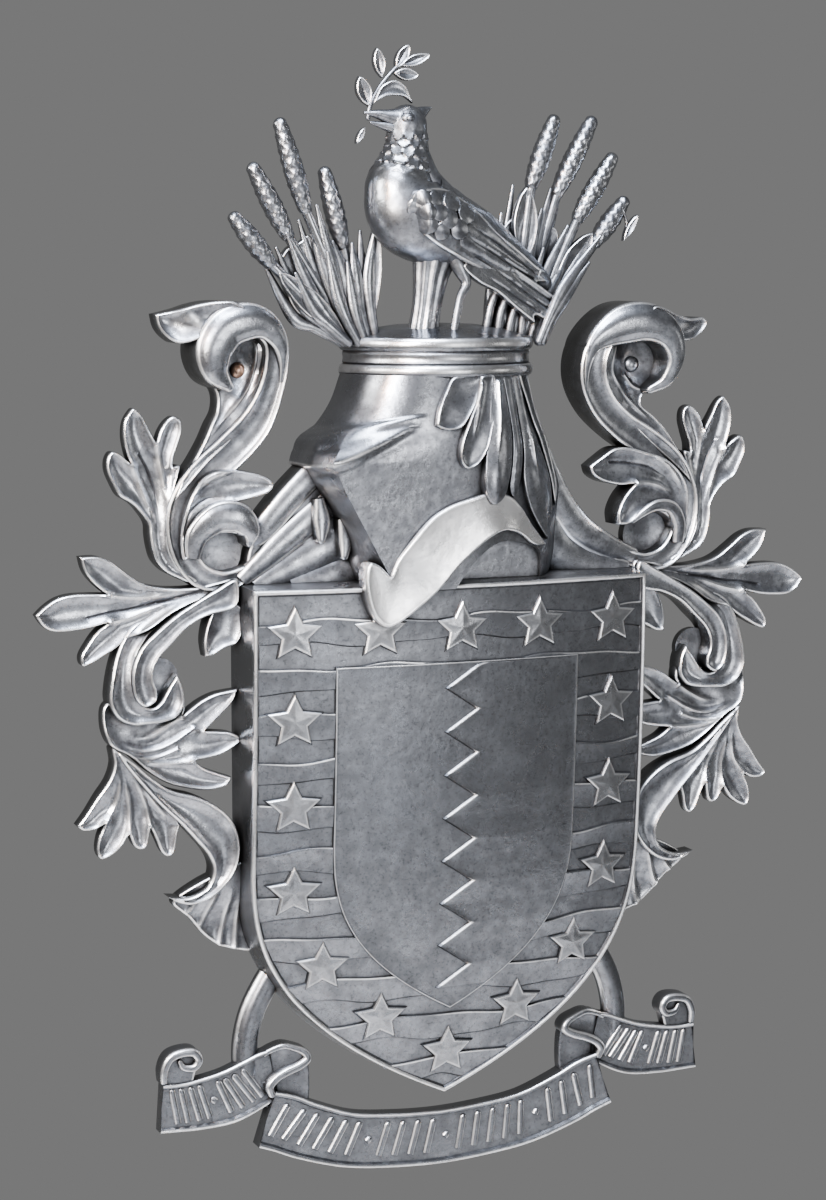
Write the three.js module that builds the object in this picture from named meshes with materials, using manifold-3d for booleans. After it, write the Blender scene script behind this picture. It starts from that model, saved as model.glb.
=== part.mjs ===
// A cast metal coat of arms for a wall: shield, helm, crest, mantling and motto ribbon.
// Millimetres. +Z is up, the front faces -Y, and the origin is the centre of the shield's flat back
// on the wall plane. Every casting is flat behind and lies on that plane.
import * as THREE from 'three';
import { mergeVertices } from 'three/addons/utils/BufferGeometryUtils.js';
import Module from 'manifold-3d';

const wasm = await Module();
wasm.setup();

// Driving dimensions of the shield
const SHIELD_WIDTH = 415;
const SHIELD_HEIGHT = 520;
const SHIELD_STRAIGHT_SIDE = 260;
const SHIELD_EDGE_DEPTH = 55;
const SHIELD_BULGE = 17.5;
const SHIELD_FALL_BACK = 44;
const SHIELD_DRAFT = 4;
const RIM_WIDTH = 6;
const RIM_RISE = 4;
const BORDER_SIDE = 79;
const BORDER_TOP = 76;
const BORDER_TIP = 90;
const PLATE_STRAIGHT_SIDE = 167;
const PLATE_RISE = 3;
const PARTITION_STEP = 2.5;
const TOOTH_PITCH = 43.5;
const TOOTH_REACH = 16.5;
const STAR_RADIUS = 29;
const STAR_EDGE_RISE = 3.2;
const STAR_PEAK_RISE = 8;
const STAR_ROW_DROP = 43;
const STARS_DOWN_A_SIDE = 6;

// Driving dimensions of the helm and its ring
const RING_WIDTH = 199;
const RING_DEPTH = 92;
const RING_HEIGHT = 40;
const RING_BEAD = 5;
const RING_DOME = 12;
const HELM_HEIGHT = 198;
const HELM_DEPTH = 92;
const HELM_BAND_RISE = 5;
const LEAF_DROP_RISE = 8;

// Driving dimensions of the mantling, drawn on a grid of 200 units to its reach
const MANTLING_REACH = 200;
const GRID_UNITS = 200;
const MANTLING_DEPTH = 22;
const WALL_DRAFT = 1;
const TIP_LIFT = 0.6;
const LEAF_CUP = 0.42;
const SCREW_HEAD_RADIUS = 8;
const SCREW_HEAD_RISE = 5;
const SCREW_SHANK_RADIUS = 4;
const EYE_FLOOR_DEPTH = 18;

// Driving dimensions of the ribbon
const RIBBON_SPAN = 588;
const RIBBON_WIDTH = 55;
const RIBBON_DEPTH = 16;
const RIBBON_GAP_BELOW_TIP = 25;
const RIBBON_RIM = 4;
const RIBBON_FIELD_SINK = 3;
const ARM_WIDTH = 26;
const ARM_DEPTH = 14;

// Driving dimensions of the crest
const CREST_HEIGHT = 205;
const CREST_OFFSET = 6;
const CREST_DEPTH = 42;
const REED_HEIGHT = 205;
const REED_DEPTH = 24;
const REED_SPIKE_RADIUS = 8;

// Clearance kept between neighbouring castings
const GAP = 0.3;

const SHIELD_HALF = SHIELD_WIDTH / 2;
const SHIELD_TOP = SHIELD_HEIGHT / 2;
const SHIELD_TIP = -SHIELD_HEIGHT / 2;
const RING_BASE = SHIELD_TOP + HELM_HEIGHT;
const RING_TOP = RING_BASE + RING_HEIGHT;
const OGIVE_POWER = 2.75;
const THROUGH = 400;

const CAST_METAL = new THREE.MeshStandardMaterial({ color: 0x9a9da1, roughness: 0.38, metalness: 1 });
const COPPERY_METAL = new THREE.MeshStandardMaterial({ color: 0xa38473, roughness: 0.45, metalness: 1 });

// Solids from geometry

function asSolid(geometry) {
  const bare = geometry.clone();
  bare.deleteAttribute('normal');
  bare.deleteAttribute('uv');
  const merged = mergeVertices(bare, 1e-4);
  const triangles = Uint32Array.from(merged.index.array);
  const vertices = Float32Array.from(merged.attributes.position.array);
  if (signedVolume(vertices, triangles) < 0) {
    for (let i = 0; i < triangles.length; i += 3) {
      [triangles[i + 1], triangles[i + 2]] = [triangles[i + 2], triangles[i + 1]];
    }
  }
  const mesh = new wasm.Mesh({ numProp: 3, vertProperties: vertices, triVerts: triangles });
  mesh.merge();
  return new wasm.Manifold(mesh);
}

function signedVolume(vertices, triangles) {
  const [a, b, c] = [new THREE.Vector3(), new THREE.Vector3(), new THREE.Vector3()];
  let volume = 0;
  for (let i = 0; i < triangles.length; i += 3) {
    a.fromArray(vertices, triangles[i] * 3);
    b.fromArray(vertices, triangles[i + 1] * 3);
    c.fromArray(vertices, triangles[i + 2] * 3);
    volume += a.dot(b.cross(c)) / 6;
  }
  return volume;
}

function asMesh(name, solid, material) {
  const { vertProperties, triVerts } = solid.getMesh();
  const geometry = new THREE.BufferGeometry();
  geometry.setAttribute('position', new THREE.BufferAttribute(vertProperties, 3));
  geometry.setIndex(new THREE.BufferAttribute(triVerts, 1));
  geometry.computeVertexNormals();
  const mesh = new THREE.Mesh(geometry, material);
  mesh.name = name;
  return mesh;
}

function joined(solids) {
  return solids.reduce((whole, piece) => whole.add(piece));
}

// A closed solid through rings of points, each ring of as many points, with a point in each end cap
function loft(rings, startHub, endHub) {
  const count = rings[0].length;
  const positions = rings.flat().concat([startHub, endHub]).flat();
  const index = [];
  for (let i = 0; i + 1 < rings.length; i++) {
    for (let j = 0; j < count; j++) {
      const next = (j + 1) % count;
      const [a, b] = [i * count + j, i * count + next];
      index.push(a, b, b + count, a, b + count, a + count);
    }
  }
  const first = rings.length * count;
  const last = (rings.length - 1) * count;
  for (let j = 0; j < count; j++) {
    const next = (j + 1) % count;
    index.push(first, next, j, first + 1, last + j, last + next);
  }
  const geometry = new THREE.BufferGeometry();
  geometry.setAttribute('position', new THREE.Float32BufferAttribute(positions, 3));
  geometry.setIndex(index);
  return asSolid(geometry);
}

function middleOf(ring) {
  return [0, 1, 2].map((axis) => ring.reduce((sum, point) => sum + point[axis], 0) / ring.length);
}

// An outline of [x, z] points carried from one depth to another
function prism(outline, fromDepth, toDepth) {
  const shape = new THREE.Shape(outline.map(([x, z]) => new THREE.Vector2(x, z)));
  const geometry = new THREE.ExtrudeGeometry(shape, { depth: toDepth - fromDepth, bevelEnabled: false });
  geometry.translate(0, 0, fromDepth).rotateX(Math.PI / 2);
  return asSolid(geometry);
}

// Everything behind the wall plane
const BEHIND_THE_WALL = prism([[-1500, -1500], [1500, -1500], [1500, 1500], [-1500, 1500]], -THROUGH, 0);

function mirrored(solid) {
  const { vertProperties, triVerts } = solid.getMesh();
  const vertices = vertProperties.map((value, i) => (i % 3 === 0 ? -value : value));
  const geometry = new THREE.BufferGeometry();
  geometry.setAttribute('position', new THREE.BufferAttribute(vertices, 3));
  geometry.setIndex(new THREE.BufferAttribute(triVerts, 1));
  return asSolid(geometry);
}

// Rows of numbers blended smoothly, as a Catmull-Rom curve in as many dimensions as a row holds
function blendRows(rows, share) {
  const at = share * (rows.length - 1);
  const i = Math.min(Math.floor(at), rows.length - 2);
  const t = at - i;
  const row = (k) => rows[Math.min(Math.max(k, 0), rows.length - 1)];
  return rows[i].map((_, n) => {
    const [p, q, r, s] = [row(i - 1)[n], row(i)[n], row(i + 1)[n], row(i + 2)[n]];
    return q + 0.5 * t * (r - p + t * (2 * p - 5 * q + 4 * r - s + t * (3 * (q - r) + s - p)));
  });
}

// Cross-sections of a carved band: [side from 1 on its left to -1, drop in half-widths]
const TROUGH = [[1, 0], [0, -LEAF_CUP], [-1, 0]];
const BOWED = [[1, -0.25], [0, 0], [-1, -0.25]];
const LIPPED = [[1, -0.7], [0.3, -0.1], [-1, -0.1]];
const OUTER_LIP = [[1, 0], [0, -0.55], [-1, -0.8]];
const BAR = [[1, -0.6], [0.5, -0.12], [-0.5, -0.12], [-1, -0.6]];

// A carved band on the wall: rows of [x, z, half width, depth]. Its walls go straight back, and its
// underside rises from the wall towards the end by a share of the depth.
function band(rows, section, lift = 0, grow = 0) {
  const rings = rows.map(([x, z, half, depth], i) => {
    const share = i / (rows.length - 1);
    const before = blendRows(rows, Math.max(share - 0.02, 0));
    const after = blendRows(rows, Math.min(share + 0.02, 1));
    const run = Math.hypot(after[0] - before[0], after[1] - before[1]);
    const [leftX, leftZ] = [-(after[1] - before[1]) / run, (after[0] - before[0]) / run];
    const under = -depth * lift * share * share;
    const at = (reach, y) => [x + leftX * reach, y, z + leftZ * reach];
    const face = section.map(([side, drop]) => at(side * (half + grow), Math.min(-depth - drop * half, under - 2)));
    const foot = half + grow + WALL_DRAFT * (1 - share);
    return [at(foot, under), ...face, at(-foot, under)];
  });
  return loft(rings, middleOf(rings[0]), middleOf(rings[rings.length - 1]));
}

// A round-ended rod or body in the round: rows of [x, depth, z, radius in the x-z plane, radius in y]
function limb(rows, sides = 8, grow = 0) {
  const rings = [];
  for (let i = 0; i < rows.length; i++) {
    const [x, depth, z, flat, deep] = rows[i];
    const share = i / (rows.length - 1);
    const before = blendRows(rows, Math.max(share - 0.02, 0));
    const after = blendRows(rows, Math.min(share + 0.02, 1));
    const run = Math.hypot(after[0] - before[0], after[2] - before[2]);
    const [sideX, sideZ] = [-(after[2] - before[2]) / run, (after[0] - before[0]) / run];
    const ring = [];
    for (let k = 0; k < sides; k++) {
      const angle = (2 * Math.PI * k) / sides;
      const across = Math.cos(angle) * (flat + grow);
      ring.push([x + sideX * across, -depth - Math.sin(angle) * (deep + grow), z + sideZ * across]);
    }
    rings.push(ring);
  }
  return loft(rings, middleOf(rings[0]), middleOf(rings[rings.length - 1]));
}

function disc(x, z, radius, depth, sides = 16) {
  const geometry = new THREE.CylinderGeometry(radius, radius, depth, sides);
  return asSolid(geometry.translate(x, -depth / 2, z));
}

// Shield

function ogiveOutline(half, top, straight, tip, steps) {
  const shoulder = top - straight;
  const side = [];
  for (let i = 0; i <= steps; i++) {
    const share = i / steps;
    side.push([half * (1 - share ** OGIVE_POWER), shoulder + (tip - shoulder) * share]);
  }
  const left = side.slice(0, -1).reverse().map(([x, z]) => [-x, z]);
  return [[half, top], ...side, ...left, [-half, top]];
}

function shieldOutline(inset, steps = 9) {
  const tip = SHIELD_TIP + inset * 1.1;
  const straight = SHIELD_STRAIGHT_SIDE - inset;
  return ogiveOutline(SHIELD_HALF - inset, SHIELD_TOP - inset, straight, tip, steps);
}

function plateOutline(inset = 0) {
  const top = SHIELD_TOP - BORDER_TOP - inset;
  const tip = SHIELD_TIP + BORDER_TIP + inset;
  return ogiveOutline(SHIELD_HALF - BORDER_SIDE - inset, top, PLATE_STRAIGHT_SIDE, tip, 7);
}

function shieldFrontDepth(x, z) {
  const across = x / SHIELD_HALF;
  const down = (SHIELD_TOP - z) / SHIELD_HEIGHT;
  return SHIELD_EDGE_DEPTH + SHIELD_BULGE * (1 - across * across) - SHIELD_FALL_BACK * down * down;
}

// Everything from the wall to the shield's front surface, lifted by some millimetres
function behindFront(lift) {
  const [reachX, reachZ] = [SHIELD_HALF + 15, SHIELD_TOP + 15];
  const rings = [];
  for (let i = 0; i <= 6; i++) {
    const x = -reachX + (2 * reachX * i) / 6;
    const ring = [[x, 4, reachZ], [x, 4, -reachZ]];
    for (let j = 0; j <= 4; j++) {
      const z = -reachZ + (2 * reachZ * j) / 4;
      ring.push([x, -shieldFrontDepth(x, z) - lift, z]);
    }
    rings.push(ring);
  }
  return loft(rings, middleOf(rings[0]), middleOf(rings[6]));
}

function taperedShield(grow, back = 0) {
  const footing = shieldOutline(-SHIELD_DRAFT - grow).map(([x, z]) => [x, back, z]);
  const face = shieldOutline(-grow).map(([x, z]) => [x, -SHIELD_EDGE_DEPTH, z]);
  const front = shieldOutline(-grow).map(([x, z]) => [x, -SHIELD_EDGE_DEPTH - SHIELD_BULGE - 40, z]);
  return loft([footing, face, front], [0, back, 0], [0, front[0][1], 0]);
}

function shieldKeepOut(rise = RIM_RISE) {
  return taperedShield(GAP, 2).intersect(behindFront(rise + GAP));
}

function starPlaces() {
  const half = SHIELD_HALF - BORDER_SIDE / 2;
  const shoulder = (SHIELD_TOP - SHIELD_STRAIGHT_SIDE + SHIELD_TOP - BORDER_TOP - PLATE_STRAIGHT_SIDE) / 2;
  const tip = SHIELD_TIP + BORDER_TIP / 2;
  const row = SHIELD_TOP - STAR_ROW_DROP;
  const line = [[half, row]];
  for (let i = 0; i <= 40; i++) {
    line.push([half * (1 - (i / 40) ** OGIVE_POWER), shoulder + (tip - shoulder) * (i / 40)]);
  }
  const lengths = [0];
  for (let i = 1; i < line.length; i++) {
    const [dx, dz] = [line[i][0] - line[i - 1][0], line[i][1] - line[i - 1][1]];
    lengths.push(lengths[i - 1] + Math.hypot(dx, dz));
  }
  const pitch = lengths[lengths.length - 1] / STARS_DOWN_A_SIDE;
  const places = [[0, row], [half / 2, row], [-half / 2, row]];
  for (let n = 0; n <= STARS_DOWN_A_SIDE; n++) {
    let i = 1;
    while (i < lengths.length - 1 && lengths[i] < n * pitch) i++;
    const share = (n * pitch - lengths[i - 1]) / (lengths[i] - lengths[i - 1]);
    const x = line[i - 1][0] + share * (line[i][0] - line[i - 1][0]);
    const z = line[i - 1][1] + share * (line[i][1] - line[i - 1][1]);
    places.push([x, z]);
    if (n < STARS_DOWN_A_SIDE) places.push([-x, z]);
  }
  return places;
}

function star([x, z]) {
  const rim = (lift) => {
    const ring = [];
    for (let k = 0; k < 10; k++) {
      const angle = Math.PI / 2 + (Math.PI * k) / 5;
      const reach = k % 2 === 0 ? STAR_RADIUS : STAR_RADIUS * 0.42;
      const [px, pz] = [x + Math.cos(angle) * reach * 1.05, z + Math.sin(angle) * reach];
      ring.push([px, -shieldFrontDepth(px, pz) - lift, pz]);
    }
    return ring;
  };
  const depth = shieldFrontDepth(x, z);
  return loft([rim(-6), rim(STAR_EDGE_RISE)], [x, 6 - depth, z], [x, -depth - STAR_PEAK_RISE, z]);
}

// The half of the plate right of the zigzag partition
function partitionedHalf() {
  const top = SHIELD_TOP - BORDER_TOP;
  const tip = SHIELD_TIP + BORDER_TIP;
  const line = [[TOOTH_REACH + 6, top + 10]];
  for (let n = 0; top - n * TOOTH_PITCH > tip; n++) {
    const z = top - n * TOOTH_PITCH;
    line.push([TOOTH_REACH, z], [-TOOTH_REACH, z - TOOTH_PITCH / 2]);
  }
  line.push([TOOTH_REACH, tip - 60], [SHIELD_HALF, tip - 60], [SHIELD_HALF, top + 10]);
  return prism(line, 0, THROUGH).intersect(prism(plateOutline(), 0, THROUGH));
}

function buildShield() {
  const field = prism(shieldOutline(RIM_WIDTH), 0, THROUGH);
  const body = taperedShield(0).intersect(behindFront(RIM_RISE)).subtract(field.subtract(behindFront(0)));
  const plate = prism(plateOutline(), 0, THROUGH).intersect(behindFront(PLATE_RISE));
  const raisedHalf = partitionedHalf().intersect(behindFront(PLATE_RISE + PARTITION_STEP));
  return joined([body, plate, raisedHalf, ...starPlaces().map(star)]).subtract(BEHIND_THE_WALL);
}

// Helm, with its ring

function ringSolid(grow) {
  const profile = [
    [0, -2], [0.97, -2], [1, RING_BEAD], [1, RING_BEAD * 2], [0.96, RING_BEAD * 3],
    [0.96, RING_HEIGHT - RING_BEAD * 3], [1, RING_HEIGHT - RING_BEAD * 2], [1, RING_HEIGHT - RING_BEAD],
    [0.97, RING_HEIGHT], [0.55, RING_HEIGHT + RING_DOME * 0.75], [0, RING_HEIGHT + RING_DOME],
  ];
  const half = RING_WIDTH / 2;
  const points = profile.map(([share, z]) => new THREE.Vector2(share * half, z));
  const geometry = new THREE.LatheGeometry(points, 20).rotateX(Math.PI / 2);
  geometry.scale((half + grow) / half, (RING_DEPTH + grow) / half, 1);
  return asSolid(geometry.translate(0, 0, RING_BASE + grow)).subtract(BEHIND_THE_WALL);
}

// Level sections of the helm, in shares of its height and depth:
// [height above the shield, reach to the left, reach to the right, depth, squareness of the left side]
const HELM_LEVELS = [
  [-0.02, 0.46, 0.6, 0.9, 9], [0.1, 0.5, 0.63, 0.91, 9], [0.24, 0.53, 0.64, 0.92, 9],
  [0.44, 0.63, 0.66, 0.94, 9], [0.57, 0.71, 0.62, 0.96, 9], [0.64, 0.69, 0.6, 0.97, 7], [0.71, 0.62, 0.57, 0.98, 5],
  [0.78, 0.555, 0.53, 0.98, 3.4], [0.88, 0.525, 0.5, 0.97, 2.5], [1.02, 0.49, 0.47, 0.94, 2],
];

function helmLevel(height) {
  const up = Math.max(height, HELM_LEVELS[0][0]);
  let i = 1;
  while (i < HELM_LEVELS.length - 1 && HELM_LEVELS[i][0] < up) i++;
  const [low, high] = [HELM_LEVELS[i - 1], HELM_LEVELS[i]];
  const share = (up - low[0]) / (high[0] - low[0]);
  return low.map((value, n) => value + share * (high[n] - value));
}

// Depth of the helm's surface at a place given in shares of its height
function helmSurface(across, up) {
  const [, left, right, depth, square] = helmLevel(up);
  const power = across < 0 ? square : 2;
  const out = Math.min(Math.abs(across) / (across < 0 ? left : right), 1);
  return HELM_DEPTH * depth * (1 - out ** power) ** (1 / power);
}

function helmBody(grow) {
  const rings = HELM_LEVELS.map(([up, left, right, depth, square]) => {
    const ring = [];
    for (let k = 0; k <= 10; k++) {
      const angle = Math.PI - (Math.PI * k) / 10;
      const [cos, sin] = [Math.cos(angle), Math.sin(angle)];
      const power = 2 / (k < 5 ? square : 2);
      const across = Math.sign(cos) * (Math.abs(cos) ** power) * (k < 5 ? left : right);
      const x = across * HELM_HEIGHT + Math.sign(across) * grow;
      const y = k % 10 === 0 ? 2 : -(sin ** power) * HELM_DEPTH * depth - grow;
      ring.push([x, y, SHIELD_TOP + up * HELM_HEIGHT]);
    }
    return ring;
  });
  return loft(rings, middleOf(rings[0]), middleOf(rings[rings.length - 1]));
}

function helmBand(rows, section, rise, grow = 0) {
  return band(rows.map(([across, up, half]) => [
    across * HELM_HEIGHT, SHIELD_TOP + up * HELM_HEIGHT, half, helmSurface(across, up) + rise,
  ]), section, 0, grow);
}

const GORGET = [
  [-0.43, -0.17, 3], [-0.41, -0.07, 14], [-0.31, 0.06, 21], [-0.17, 0.2, 21], [-0.01, 0.31, 19],
  [0.15, 0.35, 18], [0.32, 0.3, 17],
];
const GORGET_RETURN = [[-0.455, 0.16, 6], [-0.455, 0.05, 11], [-0.43, -0.06, 11]];
const BROW = [[-0.62, 0.69, 13], [-0.5, 0.73, 10], [-0.35, 0.78, 7], [-0.22, 0.82, 2]];
const LEAF_DROPS = [
  [[0, 0.98, 6], [-0.08, 0.87, 12], [-0.13, 0.77, 3]],
  [[0.1, 0.98, 6], [0.05, 0.75, 14], [0.01, 0.6, 3]],
  [[0.2, 0.98, 6], [0.16, 0.62, 14], [0.13, 0.42, 3]],
  [[0.3, 0.98, 6], [0.36, 0.62, 14], [0.46, 0.3, 11], [0.46, 0.2, 3]],
  [[0.41, 0.98, 6], [0.49, 0.62, 8], [0.56, 0.38, 4]],
];
const NECK_HOLLOW = [[-0.08, -0.06], [0.06, 0.12], [0.2, 0.2], [0.36, 0.18], [0.46, 0.12], [0.46, -0.06]];

// The room that the helm takes from the castings beside it
function helmKeepOut() {
  const lastDrop = LEAF_DROPS.length - 1;
  return joined([
    helmBody(GAP),
    helmBand(GORGET, BOWED, HELM_BAND_RISE, GAP),
    helmBand(GORGET_RETURN, BOWED, HELM_BAND_RISE, GAP),
    helmBand(BROW, BOWED, HELM_BAND_RISE + GAP, GAP),
    helmBand(LEAF_DROPS[lastDrop], TROUGH, LEAF_DROP_RISE - lastDrop + GAP, GAP),
  ]);
}

function buildHelm() {
  const hollowOutline = NECK_HOLLOW.map(([across, up]) => [across * HELM_HEIGHT, SHIELD_TOP + up * HELM_HEIGHT]);
  const hollow = prism(hollowOutline, SHIELD_EDGE_DEPTH - 6, THROUGH);
  const whole = joined([
    helmBody(0).subtract(hollow),
    ringSolid(0),
    helmBand(GORGET, BOWED, HELM_BAND_RISE),
    helmBand(GORGET_RETURN, BOWED, HELM_BAND_RISE - 1),
    helmBand(BROW, BOWED, HELM_BAND_RISE),
    ...LEAF_DROPS.map((rows, n) => helmBand(rows, TROUGH, LEAF_DROP_RISE - n)),
  ]);
  return whole.subtract(BEHIND_THE_WALL).subtract(shieldKeepOut(STAR_PEAK_RISE + 1));
}

// Mantling: places are grid units out from the shield's side and up from its top edge

const LEAF = MANTLING_REACH / GRID_UNITS;

function leafRows(rows) {
  const depthShare = MANTLING_DEPTH / 22;
  return rows.map(([out, up, half, depth]) => [
    SHIELD_HALF + out * LEAF, SHIELD_TOP + up * LEAF, half * LEAF, depth * depthShare,
  ]);
}

const SCROLL_STEM = [
  [-8, 8, 11, 24], [20, -4, 13, 26], [48, 8, 13, 26], [62, 40, 13, 26], [60, 75, 14, 27], [42, 105, 16, 30],
  [14, 130, 18, 34], [-12, 154, 18, 38], [-28, 180, 17, 42], [-34, 210, 16, 46], [-26, 242, 16, 50],
  [0, 258, 16, 52], [27, 251, 15, 54], [42, 229, 13, 54], [38, 206, 10, 50], [24, 192, 5, 44],
];

const CARVED_LEAVES = [
  // Channel beside the scroll's stem, and the leaf at its top
  [[66, 96, 4, 24], [50, 131, 9, 23], [24, 160, 12, 22], [6, 180, 13, 20]],
  [[12, 262, 12, 46], [40, 255, 16, 44], [70, 253, 9, 39], [87, 255, 1.5, 36]],
  // Upright leaves outside the stem
  [[52, 10, 8, 20], [84, 90, 14, 21], [106, 150, 16, 21], [112, 181, 2, 18]],
  [[62, 60, 9, 20], [66, 135, 14, 22], [65, 160, 9, 20], [64, 173, 2, 18]],
  [[70, 50, 9, 20], [110, 102, 17, 20], [125, 122, 11, 18], [132, 133, 2, 17]],
  // Inner leaf that curls over
  [[40, 52, 9, 30], [14, 88, 14, 42], [-10, 97, 9, 41], [-27, 98, 2, 38]],
  // Leaves that spread sideways from the shield's corner
  [[-6, 2, 8, 22], [60, 3, 15, 22], [130, 18, 15, 22], [168, 37, 2, 20]],
  [[10, -8, 10, 22], [80, -9, 17, 22], [160, -15, 18, 21], [208, -18, 2, 16]],
  [[60, -12, 10, 22], [118, -40, 14, 22], [146, -57, 9, 20], [160, -67, 2, 18]],
  [[-5, -5, 6, 24], [18, -36, 12, 25], [37, -70, 2, 24]],
  // Tongues that turn back to the shield under the loop
  [[122, -148, 4, 20], [76, -121, 14, 18], [60, -90, 9, 16], [63, -70, 2, 14]],
  [[118, -150, 4, 20], [55, -125, 14, 20], [24, -111, 11, 19], [4, -99, 2, 18]],
  [[118, -152, 4, 20], [45, -149, 14, 20], [12, -147, 9, 17], [-4, -148, 2, 16]],
  [[118, -155, 4, 20], [58, -176, 14, 20], [27, -188, 9, 18], [9, -189, 2, 16]],
  // Hanging leaves
  [[122, -152, 4, 18], [142, -198, 9, 18], [152, -213, 7, 17], [163, -223, 2, 16]],
  [[118, -158, 4, 18], [134, -222, 13, 18], [142, -245, 9, 17], [145, -255, 2, 16]],
  [[112, -165, 4, 18], [103, -225, 10, 18], [100, -250, 3, 16]],
  [[96, -185, 5, 18], [90, -237, 2, 16]],
  [[92, -180, 5, 18], [75, -225, 12, 18], [72, -248, 8, 17], [73, -258, 2, 16]],
];

const LOOP_OUTER = [
  [70, -14, 8, 22], [105, -42, 9, 23], [118, -68, 11, 23], [120, -94, 11, 23], [112, -114, 12, 22],
  [94, -118, 11, 22], [80, -105, 8, 22], [70, -90, 6, 22], [64, -80, 2, 20],
];
const LOOP_INNER = [
  [10, -6, 8, 26], [30, -15, 11, 26], [62, -28, 10, 26], [84, -48, 11, 26], [97, -66, 12, 25],
  [98, -86, 11, 23], [92, -102, 9, 20],
];
const CURL_OVER = [
  [52, 16, 8, 28], [49, 48, 13, 36], [30, 70, 16, 42], [8, 69, 16, 44], [-4, 55, 10, 42], [-5, 42, 4, 38],
];
const TAIL_HOOK = [
  [122, -152, 7, 20], [88, -188, 11, 20], [60, -210, 15, 20], [36, -228, 17, 20], [21, -248, 14, 22],
  [18, -270, 12, 24], [26, -290, 9, 26], [46, -302, 6, 24], [72, -299, 2, 20],
];
const LOW_DRAPERY = [
  [[15, -262, 8, 10], [10, -300, 14, 9], [-2, -335, 14, 7], [-12, -358, 6, 5]],
  [[24, -280, 8, 11], [28, -310, 14, 9], [18, -335, 12, 7], [10, -354, 5, 5]],
  [[56, -302, 5, 10], [45, -310, 9, 8], [30, -325, 9, 7]],
];
// Drapery between the shield's corner and the helm, on the helm's left and on its right
const DRAPERY_LEFT = [
  [[8, 24, 9, 28], [-18, 50, 12, 30], [-46, 82, 13, 32], [-80, 115, 13, 34], [-120, 150, 13, 36]],
  [[0, 6, 8, 26], [-40, 40, 13, 30], [-85, 76, 14, 32], [-130, 110, 14, 32]],
  [[-14, -2, 10, 26], [-65, 22, 20, 28], [-110, 45, 22, 30], [-150, 60, 22, 30]],
  [[-50, -4, 14, 28], [-110, 8, 24, 30], [-150, 16, 24, 30]],
  [[-74, 84, 5, 40], [-77, 62, 9, 40], [-76, 44, 4, 40]],
  [[-97, 64, 5, 42], [-101, 44, 8, 42], [-99, 28, 4, 42]],
];
const DRAPERY_RIGHT = [
  [[-125, 175, 8, 40], [-112, 135, 13, 36], [-96, 98, 15, 32], [-78, 68, 15, 30], [-56, 42, 15, 28],
    [-26, 24, 13, 26], [2, 14, 9, 24]],
  [[-120, 90, 20, 28], [-96, 50, 22, 28], [-80, 22, 22, 27], [-50, 6, 18, 26], [-10, 0, 12, 26]],
];

function buildMantling(drapery) {
  const [eyeX, eyeZ] = eyePlace();
  const [bowl] = leafRows([[25, 30, 27, 14]]);
  const [pocket] = leafRows([[80, -86, 20, 8]]);
  const pieces = [
    band(leafRows(SCROLL_STEM), LIPPED),
    ...CARVED_LEAVES.map((rows) => band(leafRows(rows), TROUGH, TIP_LIFT)),
    band(leafRows(CURL_OVER), LIPPED),
    band(leafRows(LOOP_OUTER), OUTER_LIP),
    band(leafRows(LOOP_INNER), BOWED),
    band(leafRows(TAIL_HOOK), OUTER_LIP),
    ...LOW_DRAPERY.map((rows) => band(leafRows(rows), BOWED)),
    disc(eyeX, eyeZ, 34 * LEAF, EYE_FLOOR_DEPTH, 10),
    disc(bowl[0], bowl[1], bowl[2], bowl[3], 8),
    disc(pocket[0], pocket[1], pocket[2], pocket[3], 8),
    ...drapery.map((rows) => band(leafRows(rows), BOWED)),
  ];
  const screwHole = disc(eyeX, eyeZ, SCREW_SHANK_RADIUS + GAP, THROUGH, 10);
  return joined(pieces).subtract(shieldKeepOut()).subtract(screwHole);
}

function eyePlace() {
  return [SHIELD_HALF + 1 * LEAF, SHIELD_TOP + 207 * LEAF];
}

function buildScrew() {
  const seat = EYE_FLOOR_DEPTH + GAP;
  const profile = [
    [0, 0], [SCREW_SHANK_RADIUS, 0], [SCREW_SHANK_RADIUS, seat], [SCREW_HEAD_RADIUS, seat],
    [SCREW_HEAD_RADIUS, seat + SCREW_HEAD_RISE * 0.4], [SCREW_HEAD_RADIUS * 0.6, seat + SCREW_HEAD_RISE * 0.85],
    [0, seat + SCREW_HEAD_RISE],
  ];
  const points = profile.map(([radius, height]) => new THREE.Vector2(radius, height));
  const geometry = new THREE.LatheGeometry(points, 10).rotateX(Math.PI);
  const [eyeX, eyeZ] = eyePlace();
  return asSolid(geometry.translate(eyeX, 0, eyeZ));
}

// Motto ribbon, with the two arms that carry it

const RIBBON_SHARE = RIBBON_SPAN / 588;
const RIBBON_TOP = SHIELD_TIP - RIBBON_GAP_BELOW_TIP;
const RIBBON_EDGE = RIBBON_RIM / (RIBBON_WIDTH / 2);

// Places on the ribbon: x from its middle, height above the top edge of its middle
function ribbonRow(x, up, widthShare, lift) {
  return [x * RIBBON_SHARE, RIBBON_TOP + up * RIBBON_SHARE, (RIBBON_WIDTH / 2) * widthShare, RIBBON_DEPTH + lift];
}

function rimmed(rows) {
  const sink = -RIBBON_FIELD_SINK / (RIBBON_WIDTH / 2);
  const inner = 1 - RIBBON_EDGE;
  return band(rows, [[1, 0], [inner, 0], [inner - 0.04, sink], [0.04 - inner, sink], [-inner, 0], [-1, 0]]);
}

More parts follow.
